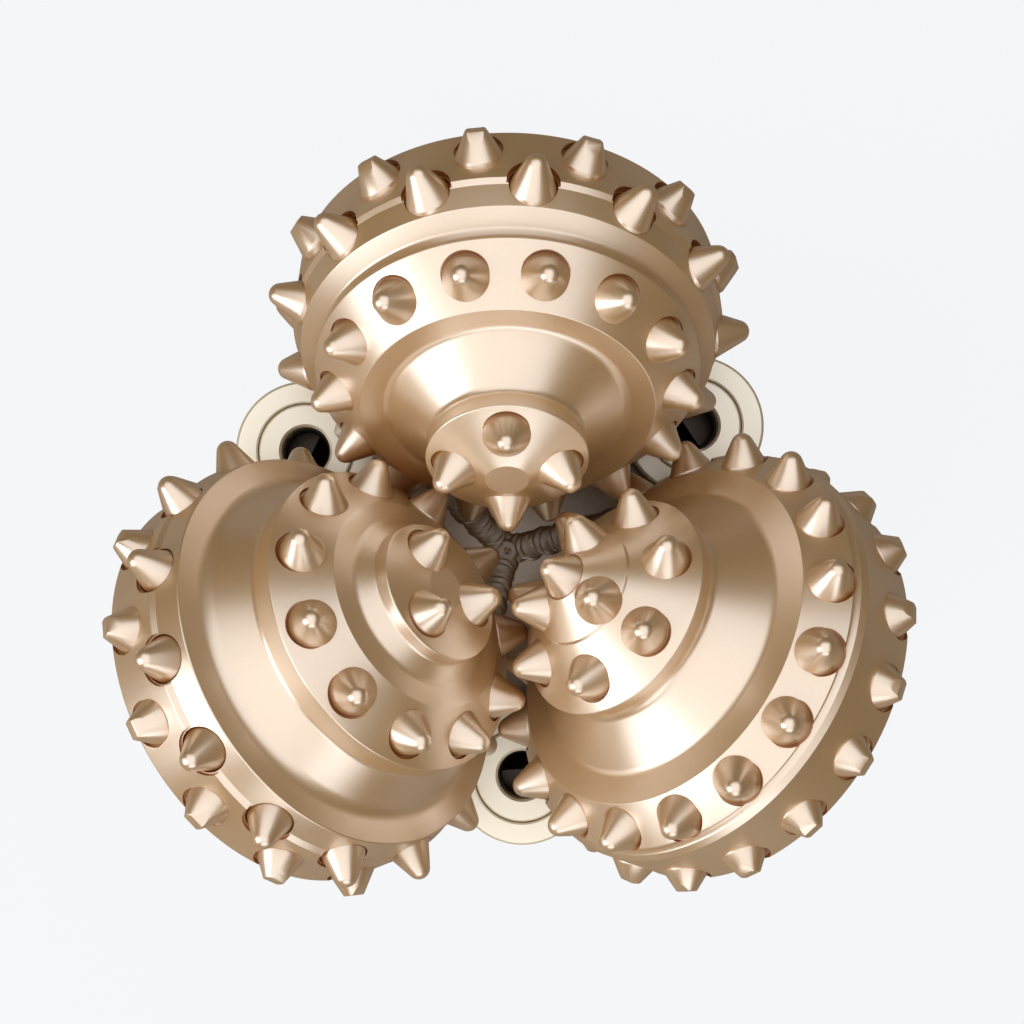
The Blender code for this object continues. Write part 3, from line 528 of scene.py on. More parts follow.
# %% [markdown]
# ## The legs
# Each leg is a forging: a third of the neck, an arm that hangs outside its cone and a round boss
# for the jet nozzle. A forging has no sharp inside corners, so the thirds are welded up from plain
# bodies, skinned with a voxel remesh and smoothed, which draws the fillets. Only then are the
# machined places cut: the shoulder's face, the nozzle's stepped pocket, the slanted drilling behind
# it, the reservoir's spot face and bore, and the hole that the balls go in by.

# %% Leg sizes, in millimetres
SEAM_BEFORE, SEAM_AFTER = math.radians(-75.0), math.radians(45.0)
SHOULDER = 108.0
NECK_RADIUS, NECK_TOP = 73.0, 116.5
SLOPE_END = (103.0, 152.0)
ARM_RADIUS, ARM_TOP = 105.0, 226.5
ARM_HALF_WIDTH, ARM_FACE = 50.0, 96.2
BODY_RADIUS, DOME_HEIGHT, DOME_RADIUS, DOME_FALL = 76.0, 143.5, 60.0, 6.0
PLENUM = [(0.0, 128.0), (16.0, 128.0), (42.0, 108.0), (42.0, 100.0)]
NOZZLE_CIRCLE, NOZZLE_TURN = 66.3, math.radians(-55.7)
BOSS_RADIUS, BOSS_TOP, BOSS_RING = 19.8, 153.5, 6.0
RETAINER_RADIUS, RETAINER_LENGTH = 13.8, 9.0
NOZZLE_RADIUS, POCKET_DEPTH = 12.8, 25.0
RESERVOIR_BORE, RESERVOIR_DEPTH, SPOT_FACE, SPOT_FALL = 15.5, 38.0, 18.5, 2.0
RESERVOIR_SHARE = 0.48
JET_RADIUS = 8.5
BALL_HOLE_RADIUS, BALL_HOLE_LEAN, BALL_HOLE_START = 6.1, math.radians(10.0), 17.5


def nozzle_frame():
    """The nozzle's frame inside its leg's frame, at the boss's face."""
    across = NOZZLE_CIRCLE * math.cos(NOZZLE_TURN)
    along = NOZZLE_CIRCLE * math.sin(NOZZLE_TURN)
    return Matrix.Translation(Vector((across, along, BOSS_TOP)) * MM)


def reservoir_frame():
    """The reservoir's frame inside its leg's frame, its Z running into the arm."""
    low, high = Vector((NECK_RADIUS, 0.0, NECK_TOP)), Vector((SLOPE_END[0], 0.0, SLOPE_END[1]))
    slope = high - low
    lean = -math.atan2(slope.z, slope.x)
    return Matrix.Translation(low.lerp(high, RESERVOIR_SHARE) * MM) @ Matrix.Rotation(lean, 4, "Y")


def slab(name, outline, low, high, matrix):
    """A flat body with an outline of (x, y), from one height to another."""
    piece = filled(name, outline)
    bpy.ops.mesh.extrude_region_move(TRANSFORM_OT_translate={"value": (0.0, low - high, 0.0)})
    bpy.ops.mesh.select_all(action="SELECT")
    bpy.ops.mesh.normals_make_consistent(inside=False)
    leave_edit()
    put(piece, matrix @ Matrix.Translation((0.0, 0.0, low)) @ Matrix.Rotation(-math.pi / 2.0, 4, "X"))
    return piece


# %% Building one forging
def forging():
    """A third of the body with its arm and boss, in the leg's frame."""
    outside = [(42.0, 100.0), (NECK_RADIUS, 100.0), (NECK_RADIUS, NECK_TOP), SLOPE_END]
    outside += [(ARM_RADIUS, SLOPE_END[1] + 6.0), (ARM_RADIUS - 1.2, ARM_TOP), (0.0, ARM_TOP)]
    third = wedge("forging", softened(outside + PLENUM[:3]), 48, SEAM_BEFORE, SEAM_AFTER - SEAM_BEFORE)
    core = [(0.0, 98.0), (BODY_RADIUS, 98.0), (BODY_RADIUS, DOME_HEIGHT - DOME_FALL)]
    core += [(DOME_RADIUS, DOME_HEIGHT), (0.0, DOME_HEIGHT)]
    body = turned("body", softened(core), 104)
    tongue = [(-140.0, -ARM_HALF_WIDTH)]
    for i in range(25):
        turn = math.pi * (i / 24.0 - 0.5)
        tongue.append((ARM_HALF_WIDTH * math.cos(turn), ARM_HALF_WIDTH * math.sin(turn)))
    tongue.append((-140.0, ARM_HALF_WIDTH))
    arm = slab("arm", [(x * MM, y * MM) for x, y in tongue], ARM_FACE * MM, 176.0 * MM, journal_place())
    work(body, arm, "UNION")
    rise = BOSS_TOP - NECK_TOP
    boss = softened([(0.0, -rise), (BOSS_RADIUS, -rise), (BOSS_RADIUS, 3.0), (0.0, 3.0)])
    work(body, turned("boss", boss, 64, nozzle_frame()), "UNION")
    work(third, body, "INTERSECT")
    return third


def skinned(piece, voxel, rounds, keep):
    """Skin a body, smooth its corners and thin its faces, as a die leaves a forging."""
    only(piece)
    skin = piece.modifiers.new("skin", "REMESH")
    skin.mode = "VOXEL"
    skin.voxel_size = voxel * MM
    relax = piece.modifiers.new("relax", "SMOOTH")
    relax.factor = 0.5
    relax.iterations = rounds
    thin = piece.modifiers.new("thin", "DECIMATE")
    thin.ratio = keep
    apply_all(piece)


leg = forging()
skinned(leg, 1.1, 8, 0.30)
print("forging", len(leg.data.polygons), "faces,", [round(v / MM, 1) for v in leg.dimensions])

# %% Machining the forging
def faced_off(piece, height):
    """Face a piece off at a height and keep what is above it."""
    edit(piece)
    bpy.ops.mesh.select_all(action="SELECT")
    bpy.ops.mesh.bisect(
        plane_co=(0.0, 0.0, height * MM),
        plane_no=(0.0, 0.0, 1.0),
        clear_inner=True,
        use_fill=True,
    )
    leave_edit()


faced_off(leg, SHOULDER)
wide, narrow = RETAINER_RADIUS + 0.3, NOZZLE_RADIUS + 0.3
pocket = [(0.0, -POCKET_DEPTH), (narrow, -POCKET_DEPTH), (narrow, -RETAINER_LENGTH)]
pocket += [(wide, -RETAINER_LENGTH), (wide, -BOSS_RING), (BOSS_RADIUS + 0.8, -BOSS_RING)]
pocket += [(BOSS_RADIUS + 0.8, 12.0), (0.0, 12.0)]
cutter = turned("nozzle_pocket", softened(pocket), 96, nozzle_frame())
across = NOZZLE_CIRCLE * math.cos(NOZZLE_TURN)
along = NOZZLE_CIRCLE * math.sin(NOZZLE_TURN)
inward = Vector((-across, -along, 0.0)).normalized() - Vector((0.0, 0.0, 1.0))
passage = [(0.0, 0.0), (JET_RADIUS, 0.0), (JET_RADIUS, 50.0), (0.0, 50.0)]
drilling = turned("jet", softened(passage), 48)
start = Matrix.Translation(Vector((across, along, BOSS_TOP - POCKET_DEPTH + 0.3)) * MM)
put(drilling, start @ inward.to_track_quat("Z", "Y").to_matrix().to_4x4())
work(cutter, drilling, "UNION")
floor = SPOT_FALL + RESERVOIR_DEPTH
bore = [(0.0, -20.0), (SPOT_FACE, -20.0), (SPOT_FACE, SPOT_FALL), (RESERVOIR_BORE, SPOT_FALL)]
bore += [(RESERVOIR_BORE, 3.5), (17.2, 3.5), (17.2, 5.9), (RESERVOIR_BORE, 5.9)]
bore += [(RESERVOIR_BORE, floor), (0.0, floor)]
spot = turned("reservoir_bore", softened(bore), 80, reservoir_frame())
rod = [(0.0, 0.0), (BALL_HOLE_RADIUS, 0.0), (BALL_HOLE_RADIUS, 90.0), (0.0, 90.0)]
hole = turned("ball_hole", softened(rod), 40)
away = Vector((math.sin(BALL_HOLE_LEAN), 0.0, math.cos(BALL_HOLE_LEAN)))
hole_start = Matrix.Translation(Vector((-BALL_HOLE_START, 0.0, RACE[1])) * MM)
put(hole, journal_place() @ hole_start @ away.to_track_quat("Z", "Y").to_matrix().to_4x4())
for tool in (cutter, spot, hole):
    work(leg, tool, "DIFFERENCE")
print("machined forging", len(leg.data.polygons), "faces")

# %% Grinding the journal and setting the three legs
journal = [(0.0, 99.2), (29.8, 99.2), (29.8, 87.3), (27.2, 87.3), (27.2, 59.3), (21.5, 59.3)]
journal += race_arc(21.5) + [(21.5, 45.8), (15.0, 45.8), (15.0, 36.3), (0.0, 36.3)]
rounds = {1: 0.4, 2: 0.6, 4: 0.8, len(journal) - 2: 1.0}
pin = turned("journal", softened(journal, rounds), 72, journal_place())
legs = {}
for tag in CONES:
    piece = copied(leg, f"leg_{tag}_forging", leg_place(tag))
    smooth(piece, 38.0)
    bearing = copied(pin, f"leg_{tag}_journal", leg_place(tag))
    smooth(bearing, 30.0)
    for item in (piece, bearing):
        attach(item, "bit_body")
        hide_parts(f"leg_{tag}")
    legs[tag] = (piece, bearing)
for spare in (leg, pin):
    bpy.data.objects.remove(spare, do_unlink=True)
print("legs set:", sorted(legs))

# %% [markdown]
# ## The threaded pin
# The bit screws into the drill string by a tapered pin. The thread is turned after the legs are
# welded, so it runs round all three thirds. A thread's section is swept up a helix by the screw
# modifier, tapered by a simple deform, and welded to the pin's core. The nose's chamfer and the
# relief groove then cut its two ends away, which is what gives a real pin's thread its run-out.

# %% Cutting the pin
NOSE_RADIUS = 45.2
TAPER = 1.0 / 8.0
PITCH = 5.08
THREAD_DEPTH = 3.4
RELIEF_RADIUS, RELIEF_START = 57.0, 98.0
WATERWAY = 28.6


def pin_radius(height):
    """The pin's outer radius over its threads at a height."""
    return NOSE_RADIUS + TAPER * height


def thread_coil(turns):
    """The thread's section swept up a helix, its two ends closed."""
    base = pin_radius(0.0) - THREAD_DEPTH
    crest = base + THREAD_DEPTH + 0.6
    section = [(base - 1.2, -0.485 * PITCH), (base, -0.485 * PITCH), (crest, -0.06 * PITCH)]
    section += [(crest, 0.06 * PITCH), (base, 0.485 * PITCH), (base - 1.2, 0.485 * PITCH)]
    coil = drawn("thread", softened(section + section[:1]))
    bpy.ops.mesh.select_all(action="SELECT")
    bpy.ops.mesh.remove_doubles(threshold=MERGE)
    leave_edit()
    sweep = coil.modifiers.new("sweep", "SCREW")
    sweep.axis = "Z"
    sweep.screw_offset = PITCH * MM
    sweep.iterations = turns
    sweep.steps = sweep.render_steps = 72
    sweep.use_merge_vertices = False
    apply_all(coil)
    edit(coil)
    bpy.ops.mesh.select_all(action="SELECT")
    bpy.ops.mesh.fill_holes(sides=0)
    bpy.ops.mesh.normals_make_consistent(inside=False)
    bpy.ops.transform.translate(value=(0.0, 0.0, -PITCH * MM))
    leave_edit()
    taper = coil.modifiers.new("taper", "SIMPLE_DEFORM")
    taper.deform_method = "TAPER"
    taper.deform_axis = "Z"
    taper.factor = coil.dimensions.z / MM * TAPER / base
    apply_all(coil)
    return coil


def threaded_pin():
    """The pin with its thread, relief groove and bore."""
    bore = [(42.0, SHOULDER + 3.0), (42.0, 100.0), (WATERWAY, 84.0), (WATERWAY, 1.5), (WATERWAY + 1.5, 0.0)]
    core = bore + [(pin_radius(0.0) - THREAD_DEPTH, 0.0), (pin_radius(89.0) - THREAD_DEPTH, 89.0)]
    core += [(RELIEF_RADIUS, RELIEF_START), (RELIEF_RADIUS, SHOULDER + 3.0), bore[0]]
    body = turned("pin", softened(core), 120)
    nose = pin_radius(0.0) - THREAD_DEPTH - 0.2
    limit = [(WATERWAY + 4.0, 0.0), (nose, 0.0), (pin_radius(4.2), 4.2), (pin_radius(97.0), 97.0)]
    limit += [(RELIEF_RADIUS - 0.3, 99.5), (WATERWAY + 4.0, 99.5), (WATERWAY + 4.0, 0.0)]
    coil = thread_coil(int(RELIEF_START / PITCH) + 3)
    work(coil, turned("limit", softened(limit), 100), "INTERSECT")
    work(body, coil, "UNION")
    body.name = "pin_thread"
    smooth(body, 28.0)
    return body


pin_piece = threaded_pin()
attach(pin_piece, "bit_body")
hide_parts("leg_a", "leg_b", "leg_c")
print("pin", len(pin_piece.data.polygons), "faces,", [round(v / MM, 1) for v in pin_piece.dimensions])

# %% [markdown]
# ## The welds
# The three thirds are joined by a weld in the groove along each seam, up the neck and over the dome
# to the bit's centre. A weld is a row of overlapping scales, so one scale is turned and copied along
# the seam. Rays find the forgings' skin, so that each scale lies on it. The hole that the balls went
# in by is plugged, and the plug is closed by a round weld.

# %% Laying the seam welds
WELD_RADIUS, WELD_HEIGHT, WELD_STEP = 4.6, 0.6, 1.9
NECK_SCALES = 13
SEAM_SIDE = 1.5
SCALE_LEAN = 0.16


def weld_scale(radius, height):
    """One scale of a weld: a low round drop with a soft rim."""
    points = [(0.0, height), (0.42 * radius, 0.93 * height), (0.72 * radius, 0.68 * height)]
    points += [(0.92 * radius, 0.28 * height), (radius, -0.4), (0.0, -0.4)]
    return turned("scale", softened(points), 18)


def skin_point(seam, start, run):
    """Where a ray along a seam meets the forgings on both sides of it, in the seam's frame."""
    found = []
    for side in (-SEAM_SIDE, SEAM_SIDE):
        origin = seam @ (Vector((start[0], side, start[1])) * MM)
        way = seam.to_3x3() @ Vector((run[0], 0.0, run[1]))
        hits = [forged.ray_cast(origin, way) for forged, _ in legs.values()]
        spots = [seam.inverted() @ hit[1] for hit in hits if hit[0]]
        found.append(min(spots, key=lambda spot: (seam @ spot - origin).length))
    return (found[0] + found[1]) / 2.0


def seam_line(seam, step):
    """Points along a seam on the forgings' skin, up the neck and in over the dome."""
    low = SHOULDER + 4.0
    line = [skin_point(seam, (140.0, low + step * i), (-1.0, 0.0)) for i in range(NECK_SCALES)]
    rim = line[-1].x / MM - 3.0
    for i in range(int(rim / step) + 3):
        line.append(skin_point(seam, (rim - step * i, 200.0), (0.0, -1.0)))
    return line


def seam_weld(tag):
    """The weld along the seam that follows one leg, from the shoulder to the bit's centre."""
    seam = leg_place(tag) @ Matrix.Rotation(SEAM_AFTER, 4, "Z")
    line = seam_line(seam, WELD_STEP)
    scale = weld_scale(WELD_RADIUS, WELD_HEIGHT)
    beads = []
    for number, (point, after) in enumerate(zip(line, line[2:])):
        run = after - point
        out = Vector((run.z, 0.0, -run.x))
        tilt = out.rotation_difference(Vector((0.0, 0.0, 1.0))).inverted().to_matrix().to_4x4()
        sway = Matrix.Translation((0.0, (0.35 * math.sin(number * 1.7) - point.y / MM) * MM, 0.0))
        grow = Matrix.Scale(1.0 + 0.07 * math.sin(number * 2.3), 4)
        place = seam @ Matrix.Translation(point) @ tilt @ sway
        beads.append(copied(scale, "bead", place @ Matrix.Rotation(SCALE_LEAN, 4, "Y") @ grow))
    bpy.data.objects.remove(scale, do_unlink=True)
    weld = joined(beads, f"seam_weld_{tag}")
    smooth(weld, 60.0)
    return weld


welds = []
for tag in CONES:
    weld = seam_weld(tag)
    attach(weld, "bit_body")
    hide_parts(f"leg_{tag}")
    welds.append(weld)
print("seam welds:", [len(weld.data.polygons) for weld in welds], "faces")

# %% Closing the ball holes
PLUG_SINK = 1.6


def plug_weld(tag):
    """The round weld over the ball plug, set in the arm's outside."""
    rings = [(0.0, 0.9), (1.4, 0.75), (2.2, 0.35), (3.2, 0.65), (4.2, 0.3), (5.2, 0.45), (6.4, -0.2)]
    rings += [(6.4, -3.0), (0.0, -3.0)]
    button = turned(f"plug_weld_{tag}", softened(rings), 48)
    smooth(button, 50.0)
    tilt = Matrix.Rotation(BALL_HOLE_LEAN, 4, "Y")
    rise = math.cos(JOURNAL_ANGLE) + math.sin(JOURNAL_ANGLE) * math.tan(BALL_HOLE_LEAN)
    start = math.cos(JOURNAL_ANGLE) * RACE[1] - math.sin(JOURNAL_ANGLE) * BALL_HOLE_START
    along = RACE[1] + (ARM_RADIUS - PLUG_SINK - start) / rise
    across = -BALL_HOLE_START + (along - RACE[1]) * math.tan(BALL_HOLE_LEAN)
    spot = Matrix.Translation(Vector((across, 0.0, along)) * MM)
    put(button, leg_place(tag) @ journal_place() @ spot @ tilt)
    return button


for tag in CONES:
    button = plug_weld(tag)
    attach(button, "bit_body")
    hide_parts(f"leg_{tag}")
    welds.append(button)
print("plug welds at radius", round(max(v.co.xy.length for v in button.data.vertices) / MM, 1))

# %% [markdown]
# ## The nozzles
# A hard nozzle sits on its O-ring at the bottom of each pocket, and a screwed retainer holds it from
# above. The retainer's face is flush with the boss, so all that shows is a thin dark ring and the bore.
# Both are turned here, with the edge breaks and the trumpet throat that the solids leave out.

# %% Turning the nozzles and retainers
RETAINER = [(7.2, -8.7), (13.8, -8.7), (13.8, -0.6), (13.2, 0.0), (7.9, 0.0), (7.2, -0.7), (7.2, -8.7)]
BOSS = [(14.1, -6.0), (20.6, -6.0), (20.6, -0.7), (19.9, 0.0), (14.6, 0.0), (14.1, -0.5), (14.1, -6.0)]
NOZZLE = [(9.8, -24.7), (12.8, -24.7), (12.8, -9.3), (6.6, -9.3), (6.0, -10.5), (6.0, -13.2)]
NOZZLE += [(6.7, -16.0), (8.2, -20.0), (9.8, -24.7)]
nozzles = {}
for tag in CONES:
    retainer = turned(f"nozzle_retainer_{tag}_turned", softened(RETAINER), 96)
    nozzle = turned(f"nozzle_{tag}_turned", softened(NOZZLE, {2: 0.6}, 3), 80)
    boss = turned(f"nozzle_boss_{tag}", softened(BOSS, {2: 0.5, 3: 0.5}, 3), 96)
    replaced = (f"nozzle_retainer_{tag}", f"nozzle_{tag}", f"leg_{tag}")
    for piece, node in zip((retainer, nozzle, boss), replaced):
        put(piece, leg_place(tag) @ nozzle_frame())
        smooth(piece, 30.0)
        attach(piece, "bit_body")
        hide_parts(node)
    nozzles[tag] = (retainer, nozzle, boss)
print("retainer", [round(v / MM, 1) for v in retainer.dimensions])

# %% [markdown]
# ## The grease reservoirs
# Behind the neck each arm has a vented cap over its grease reservoir, held by a snap ring in a
# groove. The ring is a round-cornered band with an opening and two eyes for the pliers. The cap is
# dished, with a vent in the middle.

# %% Making the caps and snap rings
EYE_CIRCLE = 13.6
RING_OPENING = math.radians(60.0)


def snap_ring(tag):
    """The open ring that holds the cap, with an eye at each end."""
    section = softened([(13.7, 3.8), (16.9, 3.8), (16.9, 5.6), (13.7, 5.6)], {1: 0.3, 2: 0.3}, 2)
    ring = wedge("ring", section, 72, RING_OPENING / 2.0, 2.0 * math.pi - RING_OPENING)
    eye_side = softened([(0.0, 3.9), (2.3, 3.9), (2.3, 5.5), (0.0, 5.5)], {1: 0.2, 2: 0.2}, 2)
    bore_side = softened([(0.0, 0.0), (1.0, 0.0), (1.0, 9.0), (0.0, 9.0)])
    for side in (-1.0, 1.0):
        turn = side * RING_OPENING / 2.0
        spot = Vector((EYE_CIRCLE * math.cos(turn), EYE_CIRCLE * math.sin(turn), 0.0)) * MM
        work(ring, turned("eye", eye_side, 28, Matrix.Translation(spot)), "UNION")
        work(ring, turned("bore", bore_side, 20, Matrix.Translation(spot)), "DIFFERENCE")
    ring.name = f"snap_ring_{tag}"
    return ring


def reservoir_cap(tag):
    """The dished cap over the grease, with its vent."""
    points = [(1.5, 11.9), (1.5, 8.4), (5.6, 8.4), (8.9, 5.9), (15.2, 5.9), (15.2, 11.9), (1.5, 11.9)]
    return turned(f"reservoir_cap_{tag}_turned", softened(points, {2: 0.8, 3: 0.8, 4: 0.7}, 4), 80)


reservoirs = {}
for tag in CONES:
    ring, cap = snap_ring(tag), reservoir_cap(tag)
    for piece, node in ((ring, f"reservoir_lock_ring_{tag}"), (cap, f"reservoir_cap_{tag}")):
        put(piece, leg_place(tag) @ reservoir_frame())
        smooth(piece, 30.0)
        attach(piece, "bit_body")
        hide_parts(node)
    reservoirs[tag] = (ring, cap)
print("cap", len(cap.data.polygons), "faces; ring", len(ring.data.polygons), "faces")

# %% [markdown]
# ## The bearing balls
# Thirteen balls fill the race of each cone and lock it on its journal. They roll round at half the
# cone's speed. Each ball is turned from a half circle, placed on the race's circle and joined.

# %% Filling the ball races
BALLS, BALL_RADIUS = 13, 5.5
ball_rings = {}
half_circle = [(0.0, -BALL_RADIUS)]
for i in range(1, 12):
    turn = math.pi * i / 12.0
    half_circle.append((BALL_RADIUS * math.sin(turn), -BALL_RADIUS * math.cos(turn)))
half_circle.append((0.0, BALL_RADIUS))
ball = turned("ball", softened(half_circle), 24)
for tag in CONES:
    balls = []
    for number in range(BALLS):
        turn = 2.0 * math.pi * number / BALLS
        spot = Vector((RACE[0] * math.cos(turn), RACE[0] * math.sin(turn), RACE[1])) * MM
        balls.append(copied(ball, "ball_copy", Matrix.Translation(spot)))
    ring = joined(balls, f"ball_ring_{tag}_balls")
    put(ring, journal_place(tag))
    smooth(ring, 60.0)
    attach(ring, f"ball_ring_{tag}_body")
    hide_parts(f"ball_ring_{tag}")
    ball_rings[tag] = ring
bpy.data.objects.remove(ball, do_unlink=True)
print("balls:", len(ring.data.polygons), "faces a ring")

# %% [markdown]
# ## The finishes
# The whole bit is sprayed with one satin gold paint over steel, inserts and all. The paint is a brown
# binder full of pale flakes: a face that mirrors the light is cream, and one that doesn't is brown. A
# coat with a high index stands in for the flakes over a plain base. Up close the paint has a fine
# grain. In the deep places the colour is painted a darker, warmer brown and the coat's weight is
# lowered, as painted shade. The shared parts of this are two node groups, one for the grain and one
# for the painted shade in the corners.

# %% Node helpers and shared groups
def new_material(name):
    """An empty procedural material with its shader."""
    material = bpy.data.materials.new(name)
    material.use_nodes = True
    shader = material.node_tree.nodes["Principled BSDF"]
    return material, material.node_tree, shader


def paint_grain():
    """A group: fine flakes in tone and height, in object space."""
    group = bpy.data.node_groups.new("paint_grain", "ShaderNodeTree")
    for name, kind in (("Scale", "NodeSocketFloat"), ("Strength", "NodeSocketFloat")):
        group.interface.new_socket(name, in_out="INPUT", socket_type=kind)
    for name in ("Tone", "Height"):
        group.interface.new_socket(name, in_out="OUTPUT", socket_type="NodeSocketFloat")
    nodes, links = group.nodes, group.links
    enter, leave = nodes.new("NodeGroupInput"), nodes.new("NodeGroupOutput")
    where = nodes.new("ShaderNodeTexCoord")
    flakes = nodes.new("ShaderNodeTexNoise")
    flakes.inputs["Detail"].default_value = 2.0
    flakes.inputs["Roughness"].default_value = 0.65
    links.new(where.outputs["Object"], flakes.inputs["Vector"])
    links.new(enter.outputs["Scale"], flakes.inputs["Scale"])
    spread = nodes.new("ShaderNodeMapRange")
    spread.inputs["From Min"].default_value = 0.3
    spread.inputs["From Max"].default_value = 0.7
    spread.inputs["To Min"].default_value = -1.0
    spread.inputs["To Max"].default_value = 1.0
    links.new(flakes.outputs["Fac"], spread.inputs["Value"])
    strong = nodes.new("ShaderNodeMath")
    strong.operation = "MULTIPLY"
    links.new(spread.outputs["Result"], strong.inputs[0])
    links.new(enter.outputs["Strength"], strong.inputs[1])
    tone = nodes.new("ShaderNodeMath")
    tone.operation = "MULTIPLY_ADD"
    tone.inputs[1].default_value = 0.5
    tone.inputs[2].default_value = 0.5
    links.new(strong.outputs[0], tone.inputs[0])
    links.new(tone.outputs[0], leave.inputs["Tone"])
    links.new(flakes.outputs["Fac"], leave.inputs["Height"])
    return group


def painted_corner_shade():
    """A group: a painted-shade mask from occlusion, 1 in corners and 0 in the open."""
    group = bpy.data.node_groups.new("painted_corner_shade", "ShaderNodeTree")
    group.interface.new_socket("Distance", in_out="INPUT", socket_type="NodeSocketFloat")
    group.interface.new_socket("Mask", in_out="OUTPUT", socket_type="NodeSocketFloat")
    nodes, links = group.nodes, group.links
    enter, leave = nodes.new("NodeGroupInput"), nodes.new("NodeGroupOutput")
    occlusion = nodes.new("ShaderNodeAmbientOcclusion")
    occlusion.samples = 6
    links.new(enter.outputs["Distance"], occlusion.inputs["Distance"])
    spread = nodes.new("ShaderNodeMapRange")
    spread.inputs["From Min"].default_value = 0.25
    spread.inputs["From Max"].default_value = 0.85
    spread.inputs["To Min"].default_value = 1.0
    spread.inputs["To Max"].default_value = 0.0
    links.new(occlusion.outputs["AO"], spread.inputs["Value"])
    links.new(spread.outputs["Result"], leave.inputs["Mask"])
    return group


GRAIN = paint_grain()
CORNER_SHADE = painted_corner_shade()


def grouped(tree, group, **values):
    """A shared group in a material, its named inputs set."""
    node = tree.nodes.new("ShaderNodeGroup")
    node.node_tree = group
    for name, value in values.items():
        node.inputs[name].default_value = value
    return node


def mixed(tree, factor, first, second):
    """A colour mix; each of the two is a colour or a socket."""
    mix = tree.nodes.new("ShaderNodeMix")
    mix.data_type = "RGBA"
    tree.links.new(factor, mix.inputs["Factor"])
    for socket, value in ((mix.inputs["A"], first), (mix.inputs["B"], second)):
        if isinstance(value, tuple):
            socket.default_value = (*value, 1.0)
        else:
            tree.links.new(value, socket)
    return mix.outputs["Result"]


def raised(tree, shader, height, strength):
    """Fine relief on a finish, from a height."""
    relief = tree.nodes.new("ShaderNodeBump")
    relief.inputs["Strength"].default_value = strength
    relief.inputs["Distance"].default_value = 0.2 * MM
    tree.links.new(height, relief.inputs["Height"])
    tree.links.new(relief.outputs["Normal"], shader.inputs["Normal"])


# %% Gold paint
COAT_ROUGHNESS = 0.33
# The coat's weight in the deepest corners, as painted shade.
SHADED_COAT = 0.1


def painted(name, tones, grain, strength, bump, metallic, roughness, flake, reach=0.012):
    """A brown binder with pale flakes over it, with grain, and painted shade in its recesses: a darker,
    warmer tone and a weaker coat.
    """
    light, dark, shade_tone = tones
    material, tree, shader = new_material(name)
    speckle = grouped(tree, GRAIN, Scale=grain, Strength=strength)
    # Painted shade: an occlusion mask mixes the base towards a darker, warmer tone in corners.
    corner_shade = grouped(tree, CORNER_SHADE, Distance=reach)
    body = mixed(tree, speckle.outputs["Tone"], dark, light)
    tree.links.new(mixed(tree, corner_shade.outputs["Mask"], body, shade_tone), shader.inputs["Base Color"])
    shader.inputs["Metallic"].default_value = metallic
    shader.inputs["Roughness"].default_value = roughness
    # Painted shade: the same mask lowers the coat's weight in corners, so they reflect less light.
    thin = tree.nodes.new("ShaderNodeMapRange")
    thin.inputs["To Min"].default_value = 1.0
    thin.inputs["To Max"].default_value = SHADED_COAT
    tree.links.new(corner_shade.outputs["Mask"], thin.inputs["Value"])
    tree.links.new(thin.outputs["Result"], shader.inputs["Coat Weight"])
    shader.inputs["Coat IOR"].default_value = flake
    shader.inputs["Coat Roughness"].default_value = COAT_ROUGHNESS
    raised(tree, shader, speckle.outputs["Height"], bump)
    return material


# A finish's tones are its light and dark grain, then the painted shade that its corners take.
GOLD = ((0.68, 0.38, 0.11), (0.50, 0.265, 0.055), (0.32, 0.10, 0.015))
INSERT_GOLD = ((0.66, 0.36, 0.10), (0.48, 0.25, 0.05), (0.30, 0.095, 0.015))
# A paler copy of the same gold paint for the flat nozzle and boss faces: painted highlight where they meet
# the overhead light.
PAINTED_HIGHLIGHT_GOLD = ((0.96, 0.86, 0.62), (0.88, 0.77, 0.52), (0.40, 0.22, 0.07))
FORGED_GOLD = ((0.66, 0.37, 0.11), (0.46, 0.245, 0.06), (0.10, 0.042, 0.012))
WELD_BROWN = ((0.50, 0.28, 0.095), (0.32, 0.17, 0.055), (0.07, 0.028, 0.008))
gold = painted("gold_paint", GOLD, 2600.0, 0.5, 0.16, 0.3, 0.5, 6.6)
insert_gold = painted("insert_gold", INSERT_GOLD, 2600.0, 0.4, 0.1, 0.3, 0.45, 6.6)
painted_highlight_gold = painted("painted_highlight_gold", PAINTED_HIGHLIGHT_GOLD, 2200.0, 0.4, 0.08, 0.1, 0.5, 5.2)
# The forging's painted shade reaches further, so the dome between the cones and the bores behind the
# nozzles go dark.
forged_gold = painted("forged_gold", FORGED_GOLD, 900.0, 0.8, 0.45, 0.3, 0.55, 4.0, 0.035)
weld_brown = painted("weld_brown", WELD_BROWN, 700.0, 0.9, 0.7, 0.3, 0.6, 3.2, 0.035)


# %% Bare metals and rubber
def turned_metal(name, colour, dark, roughness, metallic=1.0):
    """A machined metal with fine marks."""
    material, tree, shader = new_material(name)
    where = tree.nodes.new("ShaderNodeTexCoord")
    marks = tree.nodes.new("ShaderNodeTexNoise")
    marks.inputs["Scale"].default_value = 420.0
    marks.inputs["Detail"].default_value = 5.0
    tree.links.new(where.outputs["Object"], marks.inputs["Vector"])
    tree.links.new(mixed(tree, marks.outputs["Fac"], dark, colour), shader.inputs["Base Color"])
    shader.inputs["Metallic"].default_value = metallic
    shader.inputs["Roughness"].default_value = roughness
    raised(tree, shader, marks.outputs["Fac"], 0.08)
    return material


steel = turned_metal("bearing_steel", (0.62, 0.63, 0.65), (0.42, 0.43, 0.45), 0.24)
bronze = turned_metal("bearing_bronze", (0.70, 0.48, 0.24), (0.50, 0.32, 0.14), 0.32)
